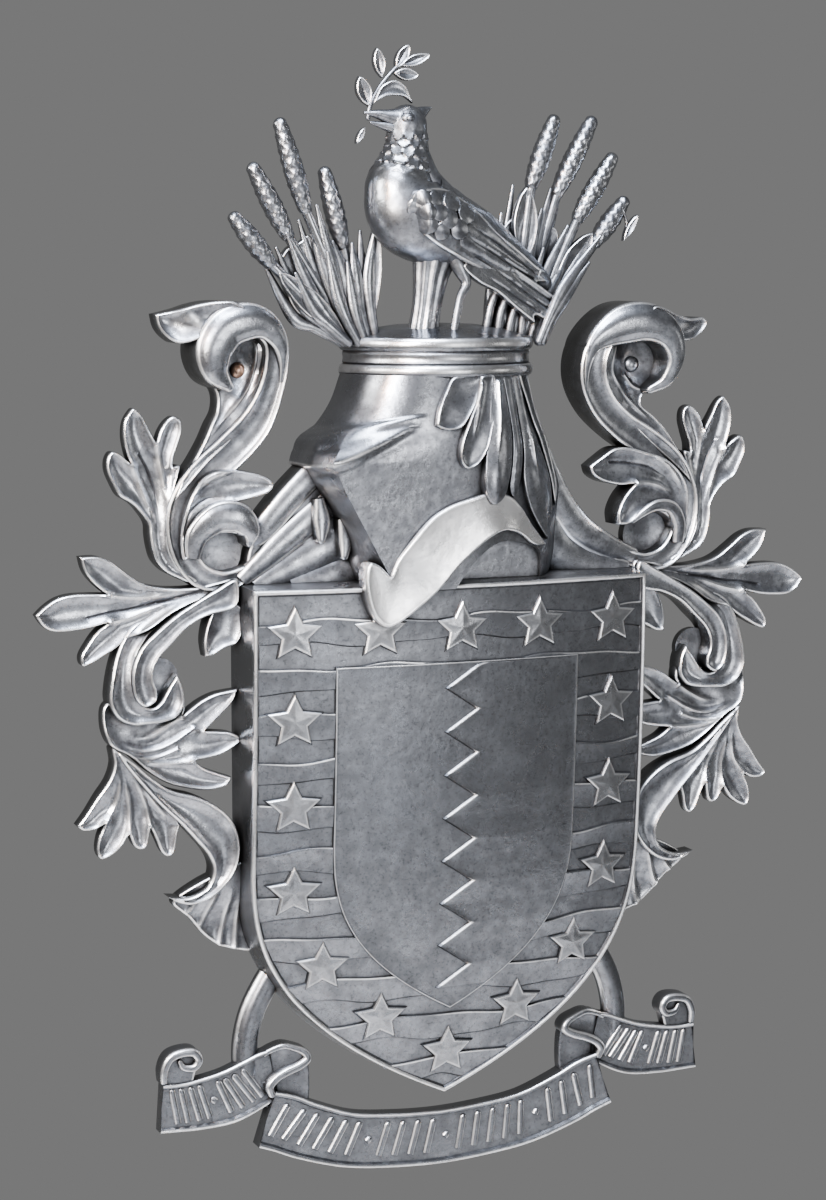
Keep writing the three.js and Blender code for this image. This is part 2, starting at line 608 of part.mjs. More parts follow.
function buildRibbon() {
  const halfMiddle = [ribbonRow(50, -26.5, 1, 0), ribbonRow(95, -18, 1, 1), ribbonRow(143, -4, 1, 2), ribbonRow(184, 12, 0.93, 4)];
  const middle = [
    ...halfMiddle.map(([x, ...rest]) => [-x, ...rest]).reverse(), ribbonRow(0, -28, 1, 0), ...halfMiddle,
  ];
  const side = [
    ribbonRow(140, 70, 0.32, 1), ribbonRow(158, 66, 0.82, 0), ribbonRow(185, 56, 1.05, -1), ribbonRow(225, 46, 1.03, -2),
    ribbonRow(260, 37, 0.98, -1), ribbonRow(292, 45, 1.08, 0),
  ];
  const fold = [ribbonRow(143, 70, 0.3, -3), ribbonRow(162, 52, 0.75, -7), ribbonRow(188, 28, 0.9, -8)];
  const curl = [];
  for (let n = 0; n <= 8; n++) {
    const angle = (n / 8) * Math.PI * 1.6;
    const radius = 19 - 1.2 * n;
    curl.push(ribbonRow(271 + Math.cos(angle) * radius, 79 + Math.sin(angle) * radius, 0.12, 3));
  }
  const [curlX, curlZ] = ribbonRow(271, 78, 1, 0);
  const arm = [[43, 145], [27, 122], [13, 95], [6, 65], [6, 35]].map(([inward, up]) => [
    SHIELD_HALF - inward, SHIELD_TIP + up, ARM_WIDTH / 2, ARM_DEPTH,
  ]);
  const half = joined([
    rimmed(side), band(fold, BOWED), band(curl, TROUGH), disc(curlX, curlZ, 17 * RIBBON_SHARE, RIBBON_DEPTH - 2, 10),
    band(arm, BAR),
  ]);
  return joined([rimmed(middle), half, mirrored(half)]).subtract(shieldKeepOut());
}

// Crest: a dove with a sprig, standing on the ring between two sheaves of reeds

const CREST_SHARE = CREST_HEIGHT / 205;

// Places above the ring: x from the crest's middle, height above the ring's top edge
function crestPoint(across, up) {
  return [CREST_OFFSET + across * CREST_SHARE, RING_TOP + up * CREST_SHARE];
}

function crestLimb(rows, sides, grow = 0) {
  return limb(rows.map(([across, up, flat, deep, forward]) => {
    const [x, z] = crestPoint(across, up);
    return [x, CREST_DEPTH + (forward ?? 0), z, flat * CREST_SHARE, deep * CREST_SHARE];
  }), sides, grow);
}

function doveBody(grow) {
  return crestLimb([
    [104, 48, 7, 5, -12], [86, 56, 14, 10, -8], [54, 77, 20, 18, -3], [19, 92, 32, 27], [-16, 103, 41, 34],
    [-48, 122, 41, 37], [-56, 149, 32, 30], [-50, 173, 23, 23], [-46, 192, 22, 20], [-46, 208, 18, 17],
    [-45, 217, 9, 9],
  ], 9, grow);
}

function tailFeathers(grow) {
  return crestLimb([[40, 66, 18, 12, -8], [80, 44, 15, 9, -14], [119, 17, 9, 6, -18]], 6, grow);
}

function buildDove() {
  const wing = crestLimb([
    [-50, 120, 10, 6, 26], [-36, 116, 22, 14, 24], [-6, 98, 24, 14, 20], [34, 72, 18, 12, 10],
    [74, 50, 12, 8, 0], [94, 52, 3, 3, -4],
  ], 6);
  const shoulder = crestLimb([[-52, 121, 8, 3, 38], [-34, 117, 21, 6, 37], [-14, 112, 8, 3, 34]], 7);
  const beak = crestLimb([[-60, 200, 9, 8], [-74, 204, 5, 5], [-86, 206, 2, 2]], 6);
  const tuft = crestLimb([[-36, 206, 9, 7], [-24, 214, 4, 4], [-19, 217, 1.5, 1.5]], 6);
  const pillar = crestLimb([[-20, 66, 15, 14], [-26, 30, 14, 13], [-29, -8, 15, 14]], 7);
  const leg = crestLimb([[10, 84, 9, 9, 12], [4, 48, 5, 5, 20], [-8, -8, 4, 4, 26]], 6);
  const tailProp = crestLimb([[40, 50, 7, 8, -8], [33, 24, 7, 8, -8], [32, -8, 9, 8, -8]], 6);
  const stem = crestLimb([[-80, 203, 2.5, 2.5], [-78, 220, 2, 2], [-67, 243, 2, 2], [-38, 260, 1.5, 1.5]], 4);
  const leaves = [
    [-79, 214, -91, 236], [-70, 236, -72, 262], [-52, 251, -44, 270], [-40, 258, -20, 268], [-56, 248, -32, 246],
    [-76, 222, -50, 236], [-58, 218, -46, 236],
  ].map(([fromX, fromZ, toX, toZ]) => crestLimb([
    [fromX, fromZ, 1.5, 1.5], [(fromX + toX) / 2, (fromZ + toZ) / 2, 5.5, 2.5], [toX, toZ, 1, 1],
  ], 4));
  const whole = joined([
    doveBody(0), tailFeathers(0), wing, shoulder, beak, tuft, pillar, leg, tailProp, stem, ...leaves,
  ]);
  return whole.subtract(ringSolid(GAP));
}

const REED_SHARE = REED_HEIGHT / 205;

function reedLimb(rows, sides, forward) {
  return limb(rows.map(([across, up, flat, deep]) => [
    CREST_OFFSET + across * REED_SHARE, REED_DEPTH + forward, RING_TOP + up * REED_SHARE, flat, deep,
  ]), sides);
}

// A reed: a stem from the foot to a thick knotted spike at the tip
function reed([footX, baseX, baseUp, tipX, tipUp], n) {
  const at = (share) => [baseX + (tipX - baseX) * share, baseUp + (tipUp - baseUp) * share];
  const thick = REED_SPIKE_RADIUS;
  return reedLimb([
    [footX, -10, 5, 5], [baseX, baseUp, 3.5, 3.5], [...at(0.12), thick * 0.9, thick * 0.9],
    [...at(0.5), thick, thick], [...at(0.9), thick * 0.8, thick * 0.8], [...at(1), thick * 0.3, thick * 0.3],
  ], 5, n % 2 === 0 ? 3 : -3);
}

function blade([footX, middleX, middleUp, tipX, tipUp], n) {
  return reedLimb([
    [footX, -10, 7, 6], [(footX + middleX) / 2, middleUp / 2, 8, 5], [middleX, middleUp, 8, 4],
    [tipX, tipUp, 1.5, 1.5],
  ], 4, (n % 3) * 4 - 4);
}

function buildReeds(reeds, blades, foot) {
  const tuftFoot = reedLimb([[foot[0], -12, foot[1], 12], [foot[2], 26, foot[3], 11], [foot[4], 60, 6, 5]], 8, 0);
  const bundle = joined([...reeds.map(reed), ...blades.map(blade), tuftFoot]);
  const dove = joined([doveBody(GAP), tailFeathers(GAP)]);
  return bundle.subtract(dove).subtract(ringSolid(GAP)).subtract(helmBody(GAP));
}

// Assembly

const shield = buildShield();
const helm = buildHelm();
const helmRoom = helmKeepOut();
const mantlingLeft = mirrored(buildMantling(DRAPERY_LEFT)).subtract(helmRoom);
const mantlingRight = buildMantling(DRAPERY_RIGHT).subtract(helmRoom);
const reedsLeft = buildReeds(
  [[-76, -153, 123, -173, 205], [-84, -163, 97, -196, 161], [-92, -179, 69, -222, 114], [-70, -106, 90, -125, 158]],
  [[-96, -140, 40, -166, 46], [-90, -128, 60, -150, 92], [-80, -110, 70, -122, 112], [-74, -84, 60, -80, 99],
    [-84, -118, 50, -140, 80]],
  [-84, 20, -98, 24, -118],
);
const reedsRight = buildReeds(
  [[66, 91, 145, 111, 212], [72, 117, 134, 156, 213], [78, 127, 105, 175, 176], [84, 155, 91, 190, 131]],
  [[70, 78, 80, 76, 142], [66, 64, 70, 54, 114], [78, 112, 70, 141, 92], [84, 124, 60, 150, 80], [72, 96, 90, 104, 130]],
  [70, 18, 84, 22, 92],
);

const arms = new THREE.Group();
arms.name = 'coat_of_arms';
arms.add(asMesh('shield', shield, CAST_METAL));
arms.add(asMesh('helm', helm, CAST_METAL));
arms.add(asMesh('mantling_left', mantlingLeft, CAST_METAL));
arms.add(asMesh('mantling_right', mantlingRight, CAST_METAL));
arms.add(asMesh('motto_ribbon', buildRibbon(), CAST_METAL));
arms.add(asMesh('dove', buildDove(), CAST_METAL));
arms.add(asMesh('reeds_left', reedsLeft, CAST_METAL));
arms.add(asMesh('reeds_right', reedsRight, CAST_METAL));
arms.add(asMesh('screw_left', mirrored(buildScrew()), COPPERY_METAL));
arms.add(asMesh('screw_right', buildScrew(), CAST_METAL));

export default arms;
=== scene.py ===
"""A cast metal coat of arms for a wall, dressed in fine relief, aged colour and painted light and shade over its
CAD solids.
"""
import logging
import math
from collections.abc import Callable, Iterable, Sequence
from dataclasses import dataclass, field
from enum import Enum

import bpy
import numpy as np
from bpy.types import Material, Node, NodeSocket, NodeTree, Object
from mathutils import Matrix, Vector
from mathutils.geometry import delaunay_2d_cdt


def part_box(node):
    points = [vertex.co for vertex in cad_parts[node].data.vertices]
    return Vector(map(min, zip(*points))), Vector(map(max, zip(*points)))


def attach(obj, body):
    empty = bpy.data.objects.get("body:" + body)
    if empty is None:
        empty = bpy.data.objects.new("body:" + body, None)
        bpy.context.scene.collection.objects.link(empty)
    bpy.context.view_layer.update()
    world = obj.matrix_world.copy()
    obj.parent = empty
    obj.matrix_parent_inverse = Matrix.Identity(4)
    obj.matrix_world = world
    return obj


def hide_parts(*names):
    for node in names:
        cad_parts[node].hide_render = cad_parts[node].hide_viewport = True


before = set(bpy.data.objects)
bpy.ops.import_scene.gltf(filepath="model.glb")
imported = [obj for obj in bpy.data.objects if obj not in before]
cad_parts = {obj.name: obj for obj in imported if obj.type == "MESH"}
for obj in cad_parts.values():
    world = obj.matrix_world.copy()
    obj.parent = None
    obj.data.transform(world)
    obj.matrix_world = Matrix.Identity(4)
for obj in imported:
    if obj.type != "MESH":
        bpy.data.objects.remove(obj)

MM = 0.001
WALL_DRAFT = 4.0
SIDE_CURVE = 2.75
THIN_EDGE = 0.4
CREASE_STEP = 2.0
LOG = logging.getLogger("coat_of_arms")

Row = tuple[float, ...]
Rows = Sequence[Row]
Depth = Callable[[np.ndarray, np.ndarray], np.ndarray]


# Sizes, partly read from the CAD parts


def node_box(name: str) -> tuple[np.ndarray, np.ndarray]:
    """Lowest and highest corner of a CAD node, in millimetres."""
    low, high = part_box(name)
    return np.array(low) / MM, np.array(high) / MM


@dataclass(frozen=True)
class Gauge:
    """The object's main sizes, in millimetres.

    Depths are measured from the wall towards the viewer.
    """

    shield_half: float = field(default_factory=lambda: float(node_box("shield")[1][0]) - WALL_DRAFT)
    shield_top: float = field(default_factory=lambda: float(node_box("shield")[1][2]) - WALL_DRAFT)
    edge_depth: float = 55.0
    bulge: float = 17.5
    fall_back: float = 44.0
    helm_height: float = 198.0
    helm_depth: float = 92.0
    ring_height: float = 40.0
    clearance: float = 0.3

    @property
    def shield_height(self) -> float:
        """Height of the shield, whose middle is at the origin."""
        return 2 * self.shield_top

    @property
    def ring_base(self) -> float:
        """Height of the ring's lower edge."""
        return self.shield_top + self.helm_height

    @property
    def ring_top(self) -> float:
        """Height of the ring's upper edge."""
        return self.ring_base + self.ring_height

    def shield_front(self, x: np.ndarray, z: np.ndarray) -> np.ndarray:
        """Depth of the shield's bulged front.

        Args:
            x: Places across.
            z: Heights.

        Returns:
            The depth at each place.
        """
        across = x / self.shield_half
        down = (self.shield_top - z) / self.shield_height
        return self.edge_depth + self.bulge * (1 - across**2) - self.fall_back * down**2


# Shells


@dataclass
class Shell:
    """A closed surface: its points in millimetres, its faces, and each point's wear with painted light and
    shade.
    """

    points: np.ndarray
    faces: list[tuple[int, ...]]
    wear_and_painted_light: np.ndarray

    def volume(self) -> float:
        """Signed volume, which is positive where the faces point outwards.

        Returns:
            The volume, in cubic millimetres.
        """
        total = 0.0
        corners: dict[int, list[tuple[int, ...]]] = {}
        for face in self.faces:
            corners.setdefault(len(face), []).append(face)
        for count, group in corners.items():
            spots = self.points[np.array(group)]
            for k in range(1, count - 1):
                cross = np.cross(spots[:, k], spots[:, k + 1])
                total += float(np.einsum("ij,ij->", spots[:, 0], cross)) / 6
        return total

    def mirrored(self) -> "Shell":
        """The same shell on the other side of the object's middle."""
        return Shell(self.points * (-1, 1, 1), [face[::-1] for face in self.faces], self.wear_and_painted_light)

    def moved(self, x: float, z: float) -> "Shell":
        """The same shell, carried across and up by some millimetres."""
        return Shell(self.points + (x, 0, z), self.faces, self.wear_and_painted_light)

    def made(self, name: str) -> Object:
        """Makes the shell an object at the origin.

        Args:
            name: Name of the object.

        Returns:
            The object, with the wear and the painted light and shade kept as a point attribute.
        """
        faces = self.faces if self.volume() > 0 else [face[::-1] for face in self.faces]
        mesh = bpy.data.meshes.new(name)
        mesh.from_pydata((self.points * MM).tolist(), [], faces)
        mesh.attributes.new("wear_and_painted_light", "FLOAT", "POINT").data.foreach_set("value", self.wear_and_painted_light.astype(np.float32))
        piece = bpy.data.objects.new(name, mesh)
        bpy.context.scene.collection.objects.link(piece)
        return piece


def ring_at(x: np.ndarray, depth: np.ndarray | float, z: np.ndarray | float) -> np.ndarray:
    """Points of a ring from places across, depths towards the viewer and heights."""
    return np.stack(np.broadcast_arrays(x, np.negative(depth), z), axis=1)


def lofted(rings: np.ndarray, wear_and_painted_light: np.ndarray) -> Shell:
    """Closes a stack of rings into a shell, with a point in the middle of each end.

    Args:
        rings: Points, as rings by points by three.
        wear_and_painted_light: Wear with painted light and shade, as rings by points.

    Returns:
        The shell.
    """
    count, size = rings.shape[:2]
    points = np.vstack([rings.reshape(-1, 3), rings[0].mean(0), rings[-1].mean(0)])
    faces: list[tuple[int, ...]] = []
    for i in range(count - 1):
        for j in range(size):
            a, b = i * size + j, i * size + (j + 1) % size
            faces.append((a, b, b + size, a + size))
    first, last = count * size, (count - 1) * size
    for j in range(size):
        nxt = (j + 1) % size
        faces.append((first, nxt, j))
        faces.append((first + 1, last + j, last + nxt))
    ends = [wear_and_painted_light[0].mean(), wear_and_painted_light[-1].mean()]
    return Shell(points, faces, np.concatenate([wear_and_painted_light.reshape(-1), ends]))


def fitted(places: np.ndarray, knots: np.ndarray, values: np.ndarray) -> np.ndarray:
    """Smooth curve through uneven knots, with the mean slope at each knot.

    Args:
        places: Where the curve is read.
        knots: Rising places of the knots.
        values: Values at the knots, one row each.

    Returns:
        One row of values for each place.
    """
    runs = np.diff(knots)
    slopes = np.diff(values, axis=0) / runs[:, None]
    tangents = np.vstack([slopes[:1], (slopes[1:] + slopes[:-1]) / 2, slopes[-1:]])
    tangents[1:-1][slopes[1:] * slopes[:-1] <= 0] = 0
    at = np.clip(np.searchsorted(knots, places, side="right") - 1, 0, len(runs) - 1)
    run = runs[at][:, None]
    t = np.clip((places - knots[at])[:, None] / run, 0, 1)
    low, high = values[at], values[at + 1]
    slope_low, slope_high = tangents[at] * run, tangents[at + 1] * run
    return ((2 * t**3 - 3 * t**2 + 1) * low + (t**3 - 2 * t**2 + t) * slope_low
            + (3 * t**2 - 2 * t**3) * high + (t**3 - t**2) * slope_high)


def read_off(rows: Rows, places: np.ndarray | float) -> np.ndarray | float:
    """The second number of rows at places along their first, straight between the rows."""
    return np.interp(places, *np.array(rows, float).T)


def headings(line: np.ndarray) -> np.ndarray:
    """Unit steps along a line of x and z."""
    steps = np.gradient(line[:, :2], axis=0)
    return steps / np.hypot(*steps.T)[:, None]


def travelled(line: np.ndarray) -> np.ndarray:
    """Distance along a line of x and z, at each of its points."""
    return np.concatenate([[0], np.cumsum(np.hypot(*np.diff(line[:, :2], axis=0).T))])


def flowing(rows: Rows, step: float) -> np.ndarray:
    """Resamples rows along a smooth curve through them, at an even spacing in plan.

    Args:
        rows: Rows whose first two numbers are the place in plan.
        step: Spacing, in millimetres.

    Returns:
        The resampled rows.
    """
    points = np.array(rows, float)
    padded = np.vstack([points[:1], points, points[-1:]])
    shares = np.linspace(0, len(points) - 1, (len(points) - 1) * 24 + 1)
    start = np.minimum(shares.astype(int), len(points) - 2)
    t = (shares - start)[:, None]
    p, q, r, s = (padded[start + k] for k in range(4))
    fine = q + 0.5 * t * (r - p + t * (2 * p - 5 * q + 4 * r - s + t * (3 * (q - r) + s - p)))
    lengths = travelled(fine)
    count = max(int(lengths[-1] / step), 4)
    even = np.linspace(0, lengths[-1], count + 1)
    return np.stack([np.interp(even, lengths, column) for column in fine.T], axis=1)


# Carved bands


@dataclass(frozen=True)
class Section:
    """Cross-section of a carved band.

    Attributes:
        knots: Side from 1 on the left to -1, with the drop there in half-widths.
        bead: Height of the raised bead along both edges, in millimetres.
        edge: Radius of the rounded edges, in millimetres.
    """

    knots: tuple[tuple[float, float], ...]
    bead: float = 0.8
    edge: float = 1.8

    def face(self, half: float, inner: int = 7) -> tuple[np.ndarray, np.ndarray, np.ndarray]:
        """Samples the section's face.

        Args:
            half: Half the band's width, in millimetres.
            inner: Points between the middle and each bead.

        Returns:
            Sides from 1 to -1, rises in millimetres over the band's depth, and wear.
        """
        edge = min(self.edge, 0.34 * half)
        near = np.array([0, 0.12, 0.4, 0.8, 1.2, 1.7, 2.2]) * edge
        far = np.linspace(near[-1], half, inner + 1)[1:]
        inward = np.concatenate([near, far])
        sides = np.concatenate([1 - inward / half, inward[-2::-1] / half - 1])
        knots = np.array(sorted(self.knots))
        for side in knots[1:-1, 0]:
            sides[int(np.argmin(np.abs(sides - side)))] = side
        drop = fitted(sides, knots[:, 0], knots[:, 1:])[:, 0]
        distance = (1 - np.abs(sides)) * half
        rounding = edge * (1 - np.sqrt(1 - (1 - np.minimum(distance / edge, 1)) ** 2))
        bump = np.exp(-(((distance / edge - 1) / 0.5) ** 2))
        rise = -drop * half - rounding + self.bead * min(half / 6, 1) * bump
        wear_and_painted_light = np.exp(-(((distance / edge - 0.8) / 0.8) ** 2))
        return sides, rise, wear_and_painted_light


class Carved(Enum):
    """The cross-sections that the carver uses."""

    BOWED = Section(((1, 0.28), (0.5, 0.07), (0, 0.0), (-0.5, 0.07), (-1, 0.28)), bead=0.0, edge=2.4)
    STEM = Section(((1, 0.0), (0.55, 0.2448), (0, 0.34), (-0.55, 0.2448), (-1, 0.0)), bead=1.4, edge=2.4)
    ROLL = Section(((1, 0.5), (0.6, 0.14), (0.1, 0.0), (-0.5, 0.06), (-1, 0.3)), bead=0.7, edge=1.8)
    BAR = Section(((1, 0.62), (0.6, 0.16), (0, 0.0), (-0.6, 0.16), (-1, 0.62)), bead=0.0, edge=1.6)


def rounded_tip(rows: np.ndarray, steps: int = 5) -> np.ndarray:
    """Carries a band's last rows round to a point.

    Args:
        rows: Rows of x, z, half width and depth.
        steps: Rows in the rounding.

    Returns:
        The rows with the rounding added.
    """
    x, z, half, depth = rows[-1, :4]
    run = rows[-1, :2] - rows[-2, :2]
    run /= np.hypot(*run)
    extra = []
    for k in range(1, steps + 1):
        angle = math.pi / 2 * k / steps
        reach = half * math.sin(angle)
        extra.append([x + run[0] * reach, z + run[1] * reach, max(half * math.cos(angle), 0.05),
                      depth - 0.35 * half * (1 - math.cos(angle))])
    return np.vstack([rows[:, :4], extra])


def band(rows: Rows, section: Section, step: float = 3.0, foot: float = 0.0, square: bool = False) -> Shell:
    """Carves a band: rows swept with a section.

    Args:
        rows: Rows of x, z, half width and depth.
        section: The cross-section.
        step: Spacing of the rings, in millimetres.
        foot: Depth of the underside.
        square: Whether it ends square, and not in a rounded tip.

    Returns:
        The shell.
    """
    spine = flowing(rows, step)[:, :4] if square else rounded_tip(flowing(rows, step))
    rings, wear = [], []
    for (x, z, half, depth), run in zip(spine, headings(spine)):
        sides, rise, wear_and_painted_light = section.face(half)
        across = np.concatenate([[1], sides, [-1]]) * half
        depths = np.maximum(depth + np.concatenate([[0], rise, [0]]), foot + THIN_EDGE)
        depths[0] = depths[-1] = foot
        rings.append(ring_at(x - run[1] * across, depths, z + run[0] * across))
        wear.append(np.concatenate([[0], wear_and_painted_light, [0]]))
    return lofted(np.array(rings), np.array(wear))


def closed_curve(rows: Rows, step: float) -> np.ndarray:
    """A smooth closed outline through rows, sharp at each row that ends in 1.

    Args:
        rows: Rows of x and z, with a third number 1 at each corner.
        step: Spacing of the points, in millimetres.

    Returns:
        Points of x and z, spaced evenly.
    """
    count = len(rows)
    corners = [n for n, row in enumerate(rows) if len(row) > 2 and row[2] == 1]
    start = corners[0] if corners else 0
    turned = [rows[(start + n) % count] for n in range(count)] + [rows[start]]
    pieces, piece = [], [turned[0][:2]]
    for row in turned[1:]:
        piece.append(row[:2])
        if len(row) > 2 and row[2] == 1:
            pieces.append(piece)
            piece = [row[:2]]
    if len(piece) > 1:
        pieces.append(piece)
    return np.vstack([flowing(part, step)[:-1] for part in pieces])


def distance_to(places: np.ndarray, line: np.ndarray) -> tuple[np.ndarray, np.ndarray]:
    """Distance from places to a line, and how far along the line its nearest point is.

    Args:
        places: Points of x and z.
        line: Points of x and z along the line.

    Returns:
        The distances in millimetres, and shares of the line's length.
    """
    start, run = line[:-1], np.diff(line, axis=0)
    length = np.maximum(np.hypot(*run.T), 1e-9)
    away = places[:, None, :] - start[None]
    share = np.clip((away * run[None]).sum(2) / length[None] ** 2, 0, 1)
    gaps = np.hypot(*np.moveaxis(away - share[..., None] * run[None], 2, 0))
    nearest = gaps.argmin(1)
    picked = np.arange(len(places))
    passed = np.concatenate([[0], np.cumsum(length)])
    along = (passed[nearest] + share[picked, nearest] * length[nearest]) / passed[-1]
    return gaps[picked, nearest], along


@dataclass(frozen=True)
class Crease:
    """A ridge or groove drawn on a sheet: its line, its height, its half width and how it fades.

    It keeps its full height from its start to half its length, and fades towards its end.
    """

    rows: Rows
    height: float
    width: float = 2.2


@dataclass(frozen=True)
class Sheet:
    """A carved sheet with a rim round its outline and a hollow inside it.

    Attributes:
        outline: Rows of x and z, with a third number 1 at each corner.
        depths: Rows of x, z and depth, between which the sheet's level is blended.
        cup: Depth of its hollow, in millimetres.
        spread: Distance from the rim at which most of the hollow is reached.
        blend: Distance over which its depths run into each other.
        bead: Height of the bead along its outline.
        edge: Radius of its edge.
        creases: Ridges and grooves on it.
        root: Place from which its underside starts to lift.
        reach: Distance from the root at which the underside has lifted fully.
        thickness: How far a sheet on a surface reaches into it.
        wear_and_sheen: Brightness over the whole face, a painted sheen as well as wear.
        rim_wear: Wear of the rim.
    """

    outline: Rows
    depths: Rows
    cup: float = 4.5
    spread: float = 6.5
    blend: float = 15.0
    bead: float = 1.0
    edge: float = 1.7
    creases: tuple[Crease, ...] = ()
    root: tuple[float, float] | None = None
    reach: float = 100.0
    thickness: float = 4.0
    wear_and_sheen: float = 0.0
    rim_wear: float = 1.0

    def level(self, places: np.ndarray) -> np.ndarray:
        """The sheet's level at places, blended between its depths.

        Args:
            places: Points of x and z.

        Returns:
            The level at each place.
        """
        spots = np.array(self.depths, float)
        weights = 1 / (((places[:, None, :] - spots[None, :, :2]) ** 2).sum(2) + self.blend**2) ** 1.5
        return (weights * spots[:, 2]).sum(1) / weights.sum(1)

    def inner_points(self, outline: np.ndarray, inward: np.ndarray, grid: float) -> list[np.ndarray]:
        """Points inside the outline: close along the rim and the creases, and a lattice elsewhere.

        Args:
            outline: Points of x and z round the sheet.
            inward: The direction inwards at each of them.
            grid: Spacing of the lattice, in millimetres.

        Returns:
            Groups of points of x and z.
        """
        loop = np.vstack([outline, outline[:1]])
        lines = [(crease, flowing(crease.rows, CREASE_STEP)) for crease in self.creases]
        groups = []
        for offset in (0.25, 0.65, 1.1, 1.7, 2.5):
            ring = outline + inward * offset * self.edge
            gap, _ = distance_to(ring, loop)
            groups.append(ring[(gap > 0.86 * offset * self.edge) & inside(ring, outline)])
        for crease, line in lines:
            run = headings(line)
            side = np.stack([-run[:, 1], run[:, 0]], axis=1)
            near = np.vstack([line + side * offset * crease.width for offset in (-1.3, -0.6, 0, 0.6, 1.3)])
            gap, _ = distance_to(near, loop)
            groups.append(near[(gap > 2.9 * self.edge) & inside(near, outline)])
        xs, zs = np.meshgrid(np.arange(outline[:, 0].min(), outline[:, 0].max(), grid),
                             np.arange(outline[:, 1].min(), outline[:, 1].max(), grid * 0.87))
        xs[1::2] += grid / 2
        lattice = np.stack([xs.ravel(), zs.ravel()], axis=1)
        lattice = lattice[inside(lattice, outline)]
        gap, _ = distance_to(lattice, loop)
        clear = gap > 2.5 * self.edge + 0.6 * grid
        for crease, line in lines:
            off, _ = distance_to(lattice, line)
            clear &= off > 1.3 * crease.width + 0.5 * grid
        return [*groups, lattice[clear]]

    def shell(self, base: Depth | None = None, grid: float = 2.8, step: float = 2.0) -> Shell:
        """Makes the sheet a closed shell, on the wall or on a surface.

        Args:
            base: Depth of the surface that it lies on, over which its depths are then measured.
            grid: Spacing of its inner points, in millimetres.
            step: Spacing of the points round its outline.

        Returns:
            The shell.
        """
        outline = closed_curve(self.outline, step)
        count = len(outline)
        ahead, behind = np.roll(outline, -1, axis=0), np.roll(outline, 1, axis=0)
        along = (ahead - behind) / np.hypot(*(ahead - behind).T)[:, None]
        area = float(np.sum(outline[:, 0] * ahead[:, 1] - ahead[:, 0] * outline[:, 1])) / 2
        inward = np.stack([-along[:, 1], along[:, 0]], axis=1) * math.copysign(1, area)
        coords = np.vstack([outline, *self.inner_points(outline, inward, grid)]).tolist()
        places, faces, origins = meshed(coords, count)
        found = {source: k for k, sources in enumerate(origins) for source in sources}
        rim = [found[k] for k in range(count)]
        depth, wear_and_painted_light = self.face(places, np.vstack([outline, outline[:1]]))
        under = np.zeros(len(places))
        if base is not None:
            surface = base(places[:, 0], places[:, 1])
            depth, under = depth + surface, surface - self.thickness
        elif self.root is not None:
            away = np.hypot(*(places - np.array(self.root)).T)
            under = 0.55 * self.level(places) * np.minimum(away / self.reach, 1) ** 2
        front = ring_at(places[:, 0], np.maximum(depth, under + 2 * THIN_EDGE), places[:, 1])
        foot = ring_at(places[rim, 0], under[rim], places[rim, 1])
        total = len(places)
        walls = [(rim[k], rim[(k + 1) % count], total + (k + 1) % count, total + k) for k in range(count)]
        _, back_faces, back_origins = meshed(coords[:count], count)
        lid = [tuple(total + back_origins[k][0] for k in face)[::-1] for face in back_faces]
        if area > 0:
            walls = [wall[::-1] for wall in walls]
        return Shell(np.vstack([front, foot]), faces + walls + lid, np.concatenate([wear_and_painted_light, np.zeros(count)]))

    def face(self, places: np.ndarray, loop: np.ndarray) -> tuple[np.ndarray, np.ndarray]:
        """Depth and wear of the sheet's front, with its painted sheen where it has one.

        Args:
            places: Points of x and z.
            loop: The closed outline.

        Returns:
            The depth and the wear at each place.
        """
        gap, _ = distance_to(places, loop)
        level = self.level(places)
        share = gap / self.edge
        rounding = self.edge * (1 - np.sqrt(1 - (1 - np.minimum(share, 1)) ** 2))
        bump = np.exp(-(((share - 1) / 0.55) ** 2))
        hollow = self.cup * (1 - np.exp(-((np.maximum(gap - self.edge, 0) / self.spread) ** 1.3)))
        depth = level - rounding + self.bead * bump - hollow
        wear_and_painted_light = np.maximum(self.rim_wear * np.exp(-(((share - 0.8) / 0.8) ** 2)), self.wear_and_sheen)
        for crease in self.creases:
            off, along = distance_to(places, flowing(crease.rows, CREASE_STEP))
            fade = np.clip((1 - along) / 0.5, 0, 1)
            near = np.exp(-((off / crease.width) ** 2)) * fade * fade * (3 - 2 * fade)
            depth += crease.height * near
            if crease.height > 0:
                wear_and_painted_light = np.maximum(wear_and_painted_light, 0.65 * near)
        return depth, wear_and_painted_light


def meshed(coords: list[list[float]], count: int) -> tuple[np.ndarray, list[tuple[int, ...]], list[list[int]]]:
    """Joins points to triangles inside an outline.

    Args:
        coords: Points of x and z, those of the outline first.
        count: How many points the outline has.

    Returns:
        The places, the faces, and for each place the points that it came from.
    """
    verts, _, faces, origins, _, _ = delaunay_2d_cdt([Vector(point) for point in coords], [],
                                                     [list(range(count))], 1, 1e-3)
    return np.array([vert[:] for vert in verts]), [tuple(face) for face in faces], origins


def inside(places: np.ndarray, outline: np.ndarray) -> np.ndarray:
    """Whether each place is inside a closed outline.

    Args:
        places: Points of x and z.
        outline: Points of x and z round it.

    Returns:
        A truth value for each place.
    """
    x, z = places[:, 0][:, None], places[:, 1][:, None]
    x0, z0 = outline[:, 0][None], outline[:, 1][None]
    x1, z1 = np.roll(outline[:, 0], -1)[None], np.roll(outline[:, 1], -1)[None]
    crosses = (z0 > z) != (z1 > z)
    rise = np.where(z1 == z0, 1e-9, z1 - z0)
    return (np.sum(crosses & (x < (x1 - x0) * (z - z0) / rise + x0), axis=1) % 2) == 1


